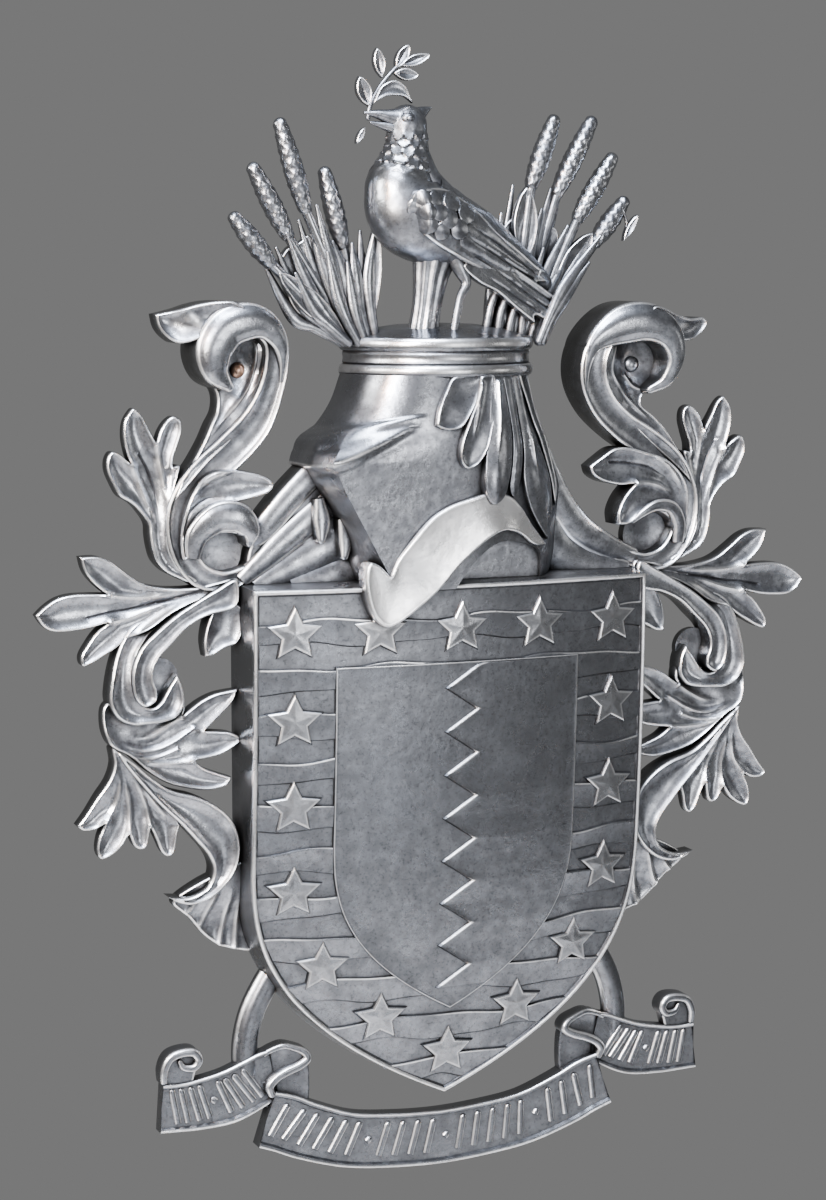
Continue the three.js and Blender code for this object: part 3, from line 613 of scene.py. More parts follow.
def limb(rows: Rows, sides: int = 24, step: float = 3.0, wave: Depth | None = None) -> Shell:
    """A body in the round.

    Args:
        rows: Rows of x, z, depth, radius in plan and radius towards the viewer.
        sides: Points round it.
        step: Spacing of the rings, in millimetres.
        wave: Share added to the radius for a distance along it and an angle round it.

    Returns:
        The shell, with rounded ends.
    """
    spine = flowing(rows, step)
    ends = []
    for sign, row, other in ((-1, spine[0], spine[1]), (1, spine[-1], spine[-2])):
        run = (row[:2] - other[:2]) / np.hypot(*(row[:2] - other[:2]))
        caps = []
        for angle in np.linspace(0.15, 0.97, 6) * math.pi / 2:
            cap = row.copy()
            cap[:2] += run * min(row[3], row[4]) * math.sin(angle)
            cap[3:5] *= math.cos(angle)
            caps.append(cap)
        ends.append(np.array(caps[::-1] if sign < 0 else caps))
    spine = np.vstack([ends[0], spine, ends[1]])
    angles = np.arange(sides) * 2 * math.pi / sides
    rings = []
    for (x, z, depth, flat, deep), run, along in zip(spine, headings(spine), travelled(spine)):
        swell = 1 + (wave(np.full(sides, along), angles) if wave else 0)
        across = np.cos(angles) * flat * swell
        rings.append(ring_at(x - run[1] * across, depth + np.sin(angles) * deep * swell, z + run[0] * across))
    return lofted(np.array(rings), np.full((len(rings), sides), 0.1))


def plated(outlines: Sequence[tuple[np.ndarray, float]], base: Depth, back: float | None,
           wear_and_painted_light: Sequence[float]) -> Shell:
    """A plate whose front follows a surface: outlines, each lifted a little, closed at its middle.

    Args:
        outlines: Outlines of x and z with as many points each, from the wall inwards, and their lifts.
        base: Depth of the surface.
        back: Depth of the plate's back, or None where it is just under the surface.
        wear_and_painted_light: Wear with painted light and shade, along each outline.

    Returns:
        The shell.
    """
    first = outlines[0][0]
    depth = base(*first.T) - 3 if back is None else back
    rings, wear = [ring_at(first[:, 0], depth, first[:, 1])], [np.zeros(len(first))]
    for (outline, lift), bright in zip(outlines, wear_and_painted_light):
        rings.append(ring_at(outline[:, 0], base(*outline.T) + lift, outline[:, 1]))
        wear.append(np.full(len(first), bright))
    last, lift = outlines[-1]
    middle = last.mean(0)
    for share in np.linspace(0.85, 0.02, 9):
        inner = middle + (last - middle) * share
        rings.append(ring_at(inner[:, 0], base(*inner.T) + lift, inner[:, 1]))
        wear.append(np.zeros(len(first)))
    return lofted(np.array(rings), np.array(wear))


# Joining and cutting


def only(piece: Object) -> None:
    """Makes a piece the one that operators act on.

    Args:
        piece: The piece.
    """
    bpy.ops.object.select_all(action="DESELECT")
    piece.select_set(True)
    bpy.context.view_layer.objects.active = piece


def applied(piece: Object, kind: str, **settings: object) -> None:
    """Adds a modifier with its settings and applies it.

    Args:
        piece: The piece.
        kind: The modifier's type.
        settings: Its properties.
    """
    modifier = piece.modifiers.new(kind.lower(), kind)
    for name, value in settings.items():
        setattr(modifier, name, value)
    only(piece)
    bpy.ops.object.modifier_apply(modifier=modifier.name)


def combined(piece: Object, tools: Sequence[Object], operation: str) -> Object:
    """Joins closed pieces to one, or cuts them from it, and removes them.

    Args:
        piece: The piece that stays.
        tools: The pieces that are joined or cut away.
        operation: UNION or DIFFERENCE.

    Returns:
        The piece.
    """
    if not tools:
        return piece
    group = bpy.data.collections.new("tools")
    bpy.context.scene.collection.children.link(group)
    for tool in tools:
        for holder in list(tool.users_collection):
            holder.objects.unlink(tool)
        group.objects.link(tool)
    applied(piece, "BOOLEAN", operation=operation, solver="MANIFOLD", operand_type="COLLECTION",
            collection=group)
    for tool in tools:
        bpy.data.meshes.remove(tool.data)
    bpy.data.collections.remove(group)
    return piece


def solid(name: str, shells: Iterable[Shell], cuts: Iterable[Shell] = ()) -> Object:
    """One solid piece from overlapping shells.

    Args:
        name: Name of the piece.
        shells: The shells that make it up.
        cuts: Shells cut away from it.

    Returns:
        The piece.
    """
    made = [shell.made(f"{name}_{n}") for n, shell in enumerate(shells)]
    piece = combined(made[0], made[1:], "UNION")
    combined(piece, [shell.made(f"cut_{n}") for n, shell in enumerate(cuts)], "DIFFERENCE")
    piece.name = name
    return piece


# Finishes


def linear(colour: str) -> tuple[float, float, float, float]:
    """Turns an sRGB hex colour into the linear colour that shaders take.

    Args:
        colour: The colour, with its number sign.

    Returns:
        Red, green, blue and full cover.
    """
    channels = [int(colour[k:k + 2], 16) / 255 for k in (1, 3, 5)]
    red, green, blue = (c / 12.92 if c <= 0.04045 else ((c + 0.055) / 1.055) ** 2.4 for c in channels)
    return red, green, blue, 1.0


def add_node(tree: NodeTree, kind: str, settings: dict[str, object] | None = None,
             inputs: dict[str | int, object] | None = None) -> Node:
    """Adds a shader node.

    Args:
        tree: The node tree.
        kind: Type of the node, without its ShaderNode prefix.
        settings: Properties set on it.
        inputs: Sockets with the value, or with the output socket that is linked to them.

    Returns:
        The node.
    """
    node = tree.nodes.new("ShaderNode" + kind)
    for name, value in (settings or {}).items():
        setattr(node, name, value)
    for name, value in (inputs or {}).items():
        if isinstance(value, NodeSocket):
            tree.links.new(value, node.inputs[name])
        else:
            node.inputs[name].default_value = value
    return node


def blank_material(name: str) -> tuple[Material, NodeTree]:
    """Starts a node material.

    Args:
        name: Name of the material.

    Returns:
        The material and its empty tree.
    """
    material = bpy.data.materials.new(name)
    material.use_nodes = True
    material.node_tree.nodes.clear()
    return material, material.node_tree


@dataclass(frozen=True)
class CastAluminium:
    """Sand-cast aluminium, bright with wear on its high edges, with painted shade darkening its hollows.

    The casting skin gives it a fine grain and soft unevenness, age a cloudy bloom on its flats, and
    handling has polished each rim. Faces turned away from the front are darkened: a skin never
    brushed, with painted shade.
    A per-point attribute is 1 on a polished edge, 0 on a flat and -1 where shade is painted into a crease;
    its bright values on upward flanks and on the gorget are painted highlights.
    """

    name: str = "cast_aluminium"
    flat: str = "#a2a4a9"
    bloom: str = "#cdd1d8"
    dull: str = "#74767b"
    # Darkest colour: real pits, and painted shade in hollows and creases.
    soot_and_shade: str = "#171616"
    # Side-wall colour: a skin never brushed, with painted shade.
    side_skin_and_shade: str = "#4b4b49"
    # Edge colour: wear, and painted highlights on upward flanks and on the gorget.
    polish_and_highlight: str = "#ffffff"
    clouded: float = 0.5
    roughness: float = 0.28
    grain_mm: float = 1.1
    pit_mm: float = 3.2
    cloud_mm: float = 48.0
    unevenness_mm: float = 9.0
    grain_height_mm: float = 0.12
    unevenness_height_mm: float = 0.5
    hollow_mm: float = 13.0

    def material(self) -> Material:
        """Builds the node material.

        Returns:
            The material.
        """
        material, tree = blank_material(self.name)
        place = add_node(tree, "TexCoord").outputs["Object"]
        clouds, blotches, grain, pits, uneven = (
            add_node(tree, "TexNoise", None, {"Vector": place, "Scale": 1 / (size_mm * MM), "Detail": detail,
                                              "Roughness": roughness}).outputs["Fac"]
            for size_mm, detail, roughness in (
                (self.cloud_mm, 5.0, 0.55), (self.cloud_mm / 4, 6.0, 0.6), (self.grain_mm, 2.0, 0.55),
                (self.pit_mm, 3.0, 0.7), (self.unevenness_mm, 2.0, 0.55)))
        # Per-point attribute: wear on edges and ridges, painted highlights on upward flanks and on the gorget,
        # and painted shade in creases where it is negative.
        wear_and_painted_light = add_node(tree, "Attribute", {"attribute_name": "wear_and_painted_light"}).outputs["Fac"]
        # Ambient occlusion mask: painted shade, darkening hollows towards the darkest colour.
        open_sky = add_node(tree, "AmbientOcclusion", {"samples": 6}, {
            "Distance": self.hollow_mm * MM}).outputs["AO"]
        # Faces turned away from the front are darkened towards the side-wall colour: painted shade with a skin
        # never brushed.
        normal = add_node(tree, "NewGeometry").outputs["Normal"]
        forward = add_node(tree, "SeparateXYZ", None, {0: normal}).outputs["Y"]
        shaded, bare, cloudy, pitted, edge, patchy, turned_away, untouched, painted_crease_shade, rough = (
            add_node(tree, "MapRange", {"clamp": True}, {
                "Value": value, "From Min": low, "From Max": high, "To Min": to_low,
                "To Max": to_high}).outputs["Result"]
            for value, low, high, to_low, to_high in (
                (open_sky, 0.3, 0.93, 1.0, 0.0), (clouds, 0.42, 0.62, 0.0, 1.0),
                (blotches, 0.42, 0.72, 0.0, self.clouded), (pits, 0.32, 0.47, 0.42, 0.0),
                (wear_and_painted_light, 0.25, 0.85, 0.0, 1.0), (blotches, 0.25, 0.5, 0.55, 1.0),
                (forward, -0.55, -0.05, 0.0, 1.0), (wear_and_painted_light, 0.2, 0.7, 0.9, 0.0), (wear_and_painted_light, -0.9, -0.2, 0.9, 0.0),
                (clouds, 0.35, 0.65, self.roughness + 0.07, self.roughness - 0.05)))
        wear_and_sheen, side_wall_shade = (
            add_node(tree, "Math", {"operation": "MULTIPLY"}, {0: first, 1: second}).outputs[0]
            for first, second in ((edge, patchy), (turned_away, untouched)))
        colour = linear(self.dull)
        for share, layer in ((bare, self.flat), (cloudy, self.bloom), (pitted, self.soot_and_shade), (wear_and_sheen, self.polish_and_highlight),
                             (side_wall_shade, self.side_skin_and_shade), (shaded, self.soot_and_shade), (painted_crease_shade, self.soot_and_shade)):
            colour = add_node(tree, "Mix", {"data_type": "RGBA"}, {
                0: share, 6: colour, 7: linear(layer)}).outputs[2]
        polish_down = add_node(tree, "Math", {"operation": "MULTIPLY_ADD"}, {
            0: wear_and_sheen, 1: 0.02, 2: rough}).outputs[0]
        final_rough = add_node(tree, "Math", {"operation": "MULTIPLY_ADD", "use_clamp": True}, {
            0: shaded, 1: 0.25, 2: polish_down}).outputs[0]
        coarse = add_node(tree, "Bump", None, {
            "Strength": 0.45, "Distance": self.unevenness_height_mm * MM, "Height": uneven}).outputs["Normal"]
        fine = add_node(tree, "Bump", None, {
            "Strength": 0.4, "Distance": self.grain_height_mm * MM, "Height": grain,
            "Normal": coarse}).outputs["Normal"]
        shader = add_node(tree, "BsdfPrincipled", None, {
            "Base Color": colour, "Metallic": 1.0, "Roughness": final_rough, "Normal": fine})
        add_node(tree, "OutputMaterial", None, {"Surface": shader.outputs[0]})
        return material


class Tone(Enum):
    """Copies of the one finish, made lighter or darker part by part: painted light and shade."""

    CAST = CastAluminium()
    # Painted light and shade: these copies darken the flats of the shield, ribbon and helm, and lighten the side
    # walls of the shield, ribbon, helm, dove and reeds.
    PLAIN = CastAluminium("cast_aluminium_shaded_copy", flat="#888a8f", bloom="#a9adb3", dull="#717377",
                          side_skin_and_shade="#747577", clouded=0.35)
    LIGHT_SIDED_COPY = CastAluminium("cast_aluminium_light_sided_copy", flat="#a0a2a6", side_skin_and_shade="#8c8d90", clouded=0.4)
    SHADED_HELM_COPY = CastAluminium("cast_aluminium_shaded_helm_copy", flat="#909297", bloom="#bdc1c7", side_skin_and_shade="#7f8083",
                            clouded=0.4)
    COPPERY = CastAluminium("coppery_aluminium", flat="#b08e7a", bloom="#c7ab98", dull="#8f7364")


@dataclass(frozen=True)
class FloorPaint:
    """Matt pale floor paint with a faint mottle."""

    name: str = "pale_floor"
    light: str = "#d4d4d2"
    dark: str = "#cacac8"

    def material(self) -> Material:
        """Builds the node material.

        Returns:
            The material.
        """
        material, tree = blank_material(self.name)
        place = add_node(tree, "TexCoord").outputs["Object"]
        mottle = add_node(tree, "TexNoise", None, {"Vector": place, "Scale": 4.0, "Detail": 3.0}).outputs["Fac"]
        colour = add_node(tree, "Mix", {"data_type": "RGBA"}, {
            0: mottle, 6: linear(self.light), 7: linear(self.dark)}).outputs[2]
        shader = add_node(tree, "BsdfPrincipled", None, {"Base Color": colour, "Roughness": 0.8})
        add_node(tree, "OutputMaterial", None, {"Surface": shader.outputs[0]})
        return material


def dressed(piece: Object, material: Material, node: str,
            crease: float = 34.0) -> Object:
    """Gives a finished piece its material, its shading and its place in the frame.

    Args:
        piece: The piece.
        material: Its finish.
        node: The CAD node that it stands for.
        crease: Angle above which an edge stays sharp, in degrees.

    Returns:
        The piece.
    """
    piece.data.materials.clear()
    piece.data.materials.append(material)
    only(piece)
    bpy.ops.object.shade_smooth_by_angle(angle=math.radians(crease))
    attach(piece, "root")
    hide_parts(node)
    LOG.info("%s: %d faces", piece.name, len(piece.data.polygons))
    return piece


# Shield


def ogive(half: float, top: float, straight: float, tip: float) -> np.ndarray:
    """Outline of a shield with a square top and a pointed foot.

    Args:
        half: Half its width.
        top: Height of its top edge.
        straight: Length of the straight part of each side.
        tip: Height of its point.

    Returns:
        Points of x and z, all round.
    """
    shoulder = top - straight
    shares = np.linspace(0, 1, 61)
    curve = np.stack([half * (1 - shares**SIDE_CURVE), shoulder + (tip - shoulder) * shares], axis=1)
    wall = np.stack([np.full(20, half), np.linspace(top, shoulder, 21)[:-1]], axis=1)
    right = np.vstack([wall, curve])
    across = np.linspace(-half, half, 41)[1:-1]
    return np.vstack([right, right[:-1][::-1] * (-1, 1), np.stack([across, np.full(39, top)], axis=1)])


@dataclass
class Shield:
    """The shield: a bulged field with a thin rim, a wavy barred border, an inner plate and stars.

    Sizes are in millimetres.
    """

    gauge: Gauge
    straight: float = 260.0
    rim_width: float = 6.0
    rim_rise: float = 4.0
    border_side: float = 79.0
    border_top: float = 76.0
    border_tip: float = 90.0
    plate_straight: float = 167.0
    plate_rise: float = 3.0
    step_rise: float = 2.2
    tooth_pitch: float = 43.5
    tooth_reach: float = 16.5
    tooth_rings: int = 8
    bar_drop: float = 31.0
    bar_pitch: float = 45.0
    bar_rise: float = 2.4
    shortest_bar: float = 20.0
    star_radius: float = 29.0
    star_stretch: float = 1.05
    star_notch: float = 0.49
    star_edge: float = 4.0
    star_peak: float = 5.0
    star_row_drop: float = 43.0
    stars_down_a_side: int = 6

    def outline(self, inset: float) -> np.ndarray:
        """The shield's outline, drawn in by some millimetres.

        Args:
            inset: How far it is drawn in.

        Returns:
            Points of x and z, all round.
        """
        gauge = self.gauge
        return ogive(gauge.shield_half - inset, gauge.shield_top - inset, self.straight - inset,
                     -gauge.shield_top + inset * 1.1)

    def plate_outline(self, inset: float) -> np.ndarray:
        """The inner plate's outline, drawn in by some millimetres.

        Args:
            inset: How far it is drawn in.

        Returns:
            Points of x and z, all round.
        """
        gauge = self.gauge
        return ogive(gauge.shield_half - self.border_side - inset, gauge.shield_top - self.border_top - inset,
                     self.plate_straight, -gauge.shield_top + self.border_tip + inset)

    def body(self, grow: float = 0.0, rise: float = 0.0) -> Shell:
        """The shield with its side wall and rim.

        Args:
            grow: Millimetres added all round, for the room that it takes from its neighbours.
            rise: Millimetres added to its front.

        Returns:
            The shell.
        """
        rim, width = self.rim_rise + rise, self.rim_width
        # The steps at the rim's inner foot carry negative values: painted shade in the crease there.
        steps = [(-0.6, -14.0, 0.0), (-0.2, -4.0, 0.1), (0.0, rim - 2.0, 0.5), (0.7, rim - 0.5, 0.9),
                 (1.7, rim, 1.0), (3.0, rim - 0.2, 0.9), (4.2, rim - 1.0, 0.4), (width - 1, 0.9, -0.6),
                 (width, 0.1, -0.8), (width + 1, 0.0, 0.0)]
        outlines = [(self.outline(-WALL_DRAFT - grow), 0.0)]
        outlines += [(self.outline(inset - grow), lift) for inset, lift, _ in steps]
        wear = [0.0] + [bright for _, _, bright in steps]
        shell = plated(outlines, self.gauge.shield_front, -2.0 if grow else 0.0, wear)
        size = len(outlines[0][0])
        shell.points[size:2 * size, 1] = 0.0
        return shell

    def plate(self) -> Shell:
        """The inner plate with its thin bright edge.

        Returns:
            The shell.
        """
        rise = self.plate_rise
        # The first two steps carry negative values: painted shade in the crease round the plate's foot.
        steps = [(0.0, rise - 1.6, -0.9), (0.3, rise - 0.5, -0.5), (0.9, rise + 0.2, 0.6),
                 (1.8, rise + 0.3, 0.4), (2.8, rise + 0.1, 0.1), (3.8, rise, 0.0)]
        outlines = [(self.plate_outline(inset), lift) for inset, lift, _ in steps]
        return plated(outlines, self.gauge.shield_front, None, [bright for _, _, bright in steps])

    def wave(self, x: np.ndarray, n: int) -> np.ndarray:
        """Rise and fall of a border line across the shield."""
        return 2.6 * np.sin(x / 27.0 + 1.9 * n) + 1.2 * np.sin(x / 13.0 + 0.7 * n)

    def bars(self) -> list[Shell]:
        """The raised wavy bars across the border, with a painted highlight along the top and painted shade along
        the foot.

        Returns:
            A shell for each bar.
        """
        inner = self.outline(self.rim_width - 2)
        sides = inner[(inner[:, 0] > 0) & (inner[:, 1] < self.gauge.shield_top - self.rim_width)]
        sides = sides[np.argsort(sides[:, 1])]
        top, rise = self.gauge.shield_top - self.bar_drop, self.bar_rise
        lifts = np.array([-3.0, 0.0, rise, rise + 0.2, rise, rise * 0.6, rise * 0.6, 0.0, -3.0])
        # Painted highlight along each bar's upper edge, painted shade along its foot.
        wear = np.array([0, 0, 0.6, 0.9, 0.05, 0, -0.9, -1.0, 0])
        shells = []
        for n in range(int((top + self.gauge.shield_top) / self.bar_pitch) + 1):
            high = top - n * self.bar_pitch
            low = high - self.bar_pitch / 2
            reach, upper_reach, lower_reach = np.interp([(high + low) / 2, high, low], sides[:, 1], sides[:, 0])
            if reach < self.shortest_bar:
                continue
            xs = np.linspace(-reach, reach, 121)
            upper, lower = high + self.wave(xs, 2 * n), low + self.wave(xs, 2 * n + 1)
            strength = np.clip(0.75 + 0.5 * np.sin(xs / 29.0 + 2.1 * n), 0.3, 1.0)
            rings = []
            for x0, x1, z0, z1 in zip(xs * upper_reach / reach, xs * lower_reach / reach, upper, lower):
                across = np.array([x0] * 5 + [x1] * 4)
                up = np.array([z0 + 0.7, z0 + 0.6, z0 - 0.3, z0 - 1.1, z0 - 2.4,
                               z1 + 2.0, z1 + 0.6, z1 - 0.4, z1 - 0.5])
                rings.append(ring_at(across, self.gauge.shield_front(across, up) + lifts, up))
            shells.append(lofted(np.array(rings), np.outer(strength, wear)))
        return shells

    def partition(self) -> Shell:
        """The half of the plate right of its zigzag line, one step higher.

        The flanks that face up carry a painted highlight, and those that face down carry painted shade.

        Returns:
            The shell.
        """
        gauge, step, count = self.gauge, self.step_rise, self.tooth_rings
        top, tip = gauge.shield_top - self.border_top, -gauge.shield_top + self.border_tip
        line = [(self.tooth_reach + 6, top - 2.5)]
        for n in range(math.ceil((top - tip) / self.tooth_pitch)):
            z = top - n * self.tooth_pitch - 4
            line += [(self.tooth_reach, z), (-self.tooth_reach, z - self.tooth_pitch / 2)]
        line = np.array([(x, z) for x, z in line if z > tip + 8])
        heights = [np.linspace(high, low, count, endpoint=False) for high,
                   low in zip(line[:-1, 1], line[1:, 1])]
        heights = np.concatenate([*heights, line[-1:, 1]])
        right = self.plate_outline(3.0)
        right = right[right[:, 0] > 0]
        right = right[np.argsort(right[:, 1])]
        lefts = np.interp(-heights, -line[:, 1], line[:, 0])
        rights = np.interp(heights, right[:, 1], right[:, 0])
        lifts = np.concatenate([[-4.0, 0.0, step * 0.6, step + 0.4, step + 0.2],
                                step * np.linspace(1, 0.15, 14)[:13], [0.0, -4.0]])
        # Upward flanks get a painted highlight, downward flanks painted shade.
        wear_and_sheen, painted_crease_shade = (0.0, 0.3, 0.9, 1.0, 0.5), (-1.0, -1.0, -1.0, -0.5, 0.1)
        rings, wear = [], []
        for n, (x0, x1, z) in enumerate(zip(lefts, rights, heights)):
            flank = wear_and_sheen if n < count or n // count % 2 == 1 else painted_crease_shade
            x1 = max(x1, x0 + 6)
            xs = np.concatenate([x0 + np.array([-1.5, -1.4, -0.4, 1.4, 3.4]), np.linspace(x0 + 5.5, x1, 14),
                                 [x1]])
            rings.append(ring_at(xs, gauge.shield_front(xs, z) + self.plate_rise + lifts, z))
            wear.append(np.concatenate([flank, np.zeros(15)]))
        return lofted(np.array(rings), np.array(wear))

    def star_places(self) -> list[tuple[float, float]]:
        """Middles of the stars round the border.

        Returns:
            Places across and heights.
        """
        gauge = self.gauge
        half = gauge.shield_half - self.border_side / 2
        shoulder = (2 * gauge.shield_top - self.straight - self.border_top - self.plate_straight) / 2
        tip = -gauge.shield_top + self.border_tip / 2
        row = gauge.shield_top - self.star_row_drop
        shares = np.linspace(0, 1, 81)
        curve = np.stack([half * (1 - shares**SIDE_CURVE), shoulder + (tip - shoulder) * shares], axis=1)
        line = np.vstack([[half, row], curve])
        lengths = travelled(line)
        places = [(0.0, row), (half / 2, row), (-half / 2, row)]
        for n in range(self.stars_down_a_side + 1):
            at = lengths[-1] * n / self.stars_down_a_side
            x, z = (float(np.interp(at, lengths, column)) for column in line.T)
            places.append((x, z))
            if n < self.stars_down_a_side:
                places.append((-x, z))
        return places

    def star(self, middle_x: float, middle_z: float) -> Shell:
        """One five-pointed star with a chamfered edge and faint ridges to its points.

        Args:
            middle_x: Place of its middle across.
            middle_z: Height of its middle.

        Returns:
            The shell.
        """
        fifth, chamfer_end = math.pi / 5, 0.7
        run = self.star_notch * np.array([math.cos(fifth), math.sin(fifth)]) - (1, 0)
        rings, wear = [], []
        # The second ring carries a negative value: painted shade in the crease round each star's foot.
        for scale, lift, bright in ((1.0, -4.0, 0.0), (1.0, 0.2, -0.9), (0.9, self.star_edge - 0.8, 0.5),
                                    (0.81, self.star_edge, 0.6), (chamfer_end, self.star_edge, 0.34),
                                    (0.5, None, 0.33), (0.05, None, 0.36)):
            if lift is None:
                lift = self.star_edge + (self.star_peak - self.star_edge) * (1 - scale / chamfer_end)
            ring = []
            for k in range(30):
                turn = (k % 6) / 3
                share = min(turn, 2 - turn)
                edge = run * share + (1, 0)
                swing = math.atan2(edge[1], edge[0]) - fifth * share
                angle = math.pi / 2 + 2 * math.pi * k / 30 + (swing if turn <= 1 else -swing)
                reach = np.hypot(*edge) * self.star_radius * scale
                ring.append((middle_x + self.star_stretch * reach * math.cos(angle),
                             middle_z + reach * math.sin(angle)))
            x, z = np.array(ring).T
            rings.append(ring_at(x, self.gauge.shield_front(x, z) + lift, z))
            wear.append(np.full(30, bright))
        return lofted(np.array(rings), np.array(wear))

    def build(self, finish: Material) -> Object:
        """Builds and dresses the shield.

        Args:
            finish: Its material.

        Returns:
            The piece.
        """
        shells = [self.body(), *self.bars(), self.plate(), self.partition()]
        shells += [self.star(x, z) for x, z in self.star_places()]
        return dressed(solid("shield_casting", shells), finish, "shield", crease=28)


# Helm


@dataclass
class Helm:
    """The helm with its visor, brow, lower band and leaf drops, and the beaded ring on its top.

    Places on it are shares of its height across and up, and rises are in millimetres.
    """

    gauge: Gauge
    ring_width: float = 199.0
    ring_depth: float = 92.0
    bead: float = 5.0
    dome: float = 12.0
    levels: Rows = (
        (-0.02, 0.46, 0.6, 0.9), (0.1, 0.5, 0.63, 0.91), (0.24, 0.53, 0.64, 0.92), (0.44, 0.65, 0.66, 0.94),
        (0.57, 0.725, 0.62, 0.96), (0.63, 0.725, 0.6, 0.97), (0.7, 0.7, 0.575, 0.98), (0.78, 0.62, 0.53, 0.98),
        (0.88, 0.55, 0.5, 0.97), (1.02, 0.495, 0.47, 0.94))
    visor: Rows = ((-0.02, 0.36), (0.04, 0.39), (0.14, 0.445), (0.31, 0.54), (0.48, 0.635), (0.58, 0.68),
                   (0.66, 0.66), (1.02, 0.48))
    visor_turn: float = 0.62
    skull_from: float = 0.6
    skull_full: float = 0.8
    # The gorget's whole face is painted near white: a painted sheen over the wear of its band.
    gorget: Sheet = Sheet(
        ((-79, 11, 1), (-72, 27), (-60, 43), (-47, 58), (-36, 68), (-20, 77), (-2, 83), (17, 88), (34, 88),
         (48, 82), (60, 71), (73, 56), (84, 45), (96, 33, 1), (84, 33), (73, 37), (63, 44), (52, 49), (37, 51),
         (18, 42), (-8, 21), (-29, -2), (-51, -21), (-70, -34), (-84, -37), (-97, -24), (-104, 3), (-101, 24),
         (-90, 22)),
        ((-95, 0, 2), (-20, 40, 8), (40, 75, 11), (90, 38, 5)), cup=1.2, spread=9.0, bead=0.3, edge=2.2,
        thickness=18.0, wear_and_sheen=0.95)
    brow_low: Rows = ((-150, 113), (-134, 116), (-114, 123), (-82, 137), (-60, 149), (-44, 163))
    brow_high: Rows = ((-150, 137), (-132, 146), (-121, 151), (-92, 156), (-62, 162), (-44, 165))
    brow_shape: Rows = ((-0.14, 0), (-0.05, 0.3), (0.03, 0.85), (0.12, 1), (0.3, 0.85), (0.6, 0.5),
                        (0.84, 0.65), (0.96, 0.6), (1.1, 0))
    brow_rise: float = 7.5
    brow_fade: float = 60.0
    collar_reach: float = 0.66
    collar_depth: float = 0.915
    drops: tuple[Sheet, ...] = (
        Sheet(((-14, 201), (-25, 187), (-33, 170), (-36, 154, 1), (-24, 150), (-10, 152), (0, 164), (9, 180),
               (14, 201)),
              ((-20, 160, 6), (0, 195, 3)), cup=2.2, spread=6.0, bead=0.6, thickness=6.0, rim_wear=0.5),
        Sheet(((12, 201), (6, 178), (-2, 160), (-10, 141), (-12, 124), (-5, 113), (7, 116), (17, 130),
               (23, 149), (28, 169), (28, 201)), ((0, 125, 8), (20, 190, 5)), cup=2.4, spread=6.0, bead=0.8,
              thickness=6.0, rim_wear=0.5, creases=(Crease(((12, 192), (7, 165), (2, 138)), 2.0, 1.6),)),
        Sheet(((25, 201), (21, 169), (18, 140), (14, 111), (14, 92), (23, 78), (35, 84), (41, 101), (46, 125),
               (46, 149), (42, 178), (38, 201)), ((25, 90, 13), (32, 150, 6), (32, 190, 4)), cup=-3.6,
              spread=6.0, bead=0.0, thickness=6.0, rim_wear=0.3,
              creases=(Crease(((31, 195), (30, 155), (25, 105)), 2.0, 1.6),)),
        Sheet(((39, 201), (45, 168), (48, 149), (48, 120), (45, 93), (51, 83), (58, 100), (61, 129), (57, 163),
               (52, 201)), ((52, 100, 5), (48, 190, 3)), cup=-2.4, spread=4.0, bead=0.0, thickness=6.0,
              rim_wear=0.3),
        Sheet(((52, 201), (58, 163), (63, 129), (62, 100), (69, 75), (82, 55), (98, 38, 1), (103, 50),
               (102, 79), (96, 109), (82, 140), (70, 167), (62, 201)), ((95, 50, 7), (60, 180, 3)), cup=-3.6,
              spread=7.0, bead=0.0, rim_wear=0.4, thickness=6.0,
              creases=(Crease(((62, 185), (72, 140), (82, 85)), 2.2, 1.8),)),
        Sheet(((62, 201), (74, 170), (86, 142), (98, 112), (106, 84), (112, 70, 1), (112, 100), (102, 135),
               (88, 170), (78, 201)), ((100, 100, 4), (70, 190, 4)), cup=2.0, spread=4.0, bead=0.9,
              thickness=6.0))
    hollow: Rows = ((-0.08, -0.06), (0.06, 0.12), (0.2, 0.2), (0.36, 0.18), (0.46, 0.12), (0.46, -0.06))
    hollow_floor: float = 49.0
    hollow_front: float = 200.0

    def level(self, up: np.ndarray) -> np.ndarray:
        """The helm's section at each height, as reach left, reach right and depth."""
        table = np.array(self.levels)
        return fitted(np.clip(up, table[0, 0], table[-1, 0]), table[:, 0], table[:, 1:])

    def roundness(self, up: np.ndarray) -> np.ndarray:
        """How far the left side has turned from the visor's flat plate to the round skull."""
        share = np.clip((up - self.skull_from) / (self.skull_full - self.skull_from), 0, 1)
        return share * share * (3 - 2 * share)

    def plate_reach(self, up: np.ndarray, left: np.ndarray) -> np.ndarray:
        """How far left the visor's plate reaches at each height, always short of the side."""
        return np.minimum(read_off(self.visor, up), left - 0.01)

    def surface(self, x: np.ndarray, z: np.ndarray) -> np.ndarray:
        """Depth of the helm's front.

        Args:
            x: Places across, in millimetres.
            z: Heights, in millimetres.

        Returns:
            The depth at each place.
        """
        height = self.gauge.helm_height
        across, up = x / height, (z - self.gauge.shield_top) / height
        left, right, depth = self.level(np.atleast_1d(up)).T
        turned = self.roundness(np.atleast_1d(up))
        plate = self.plate_reach(up, left)
        out = np.minimum(np.abs(across) / np.where(across < 0, left, right), 1)
        flat = np.where(-across > plate, 1 - (1 - self.visor_turn) * (-across - plate) / (left - plate), 1.0)
        bowed = np.maximum(1 - out**3, 0) ** (1 / 3)
        share = np.where(across < 0, (1 - turned) * flat + turned * bowed, np.sqrt(1 - out**2))
        return self.gauge.helm_depth * depth * share

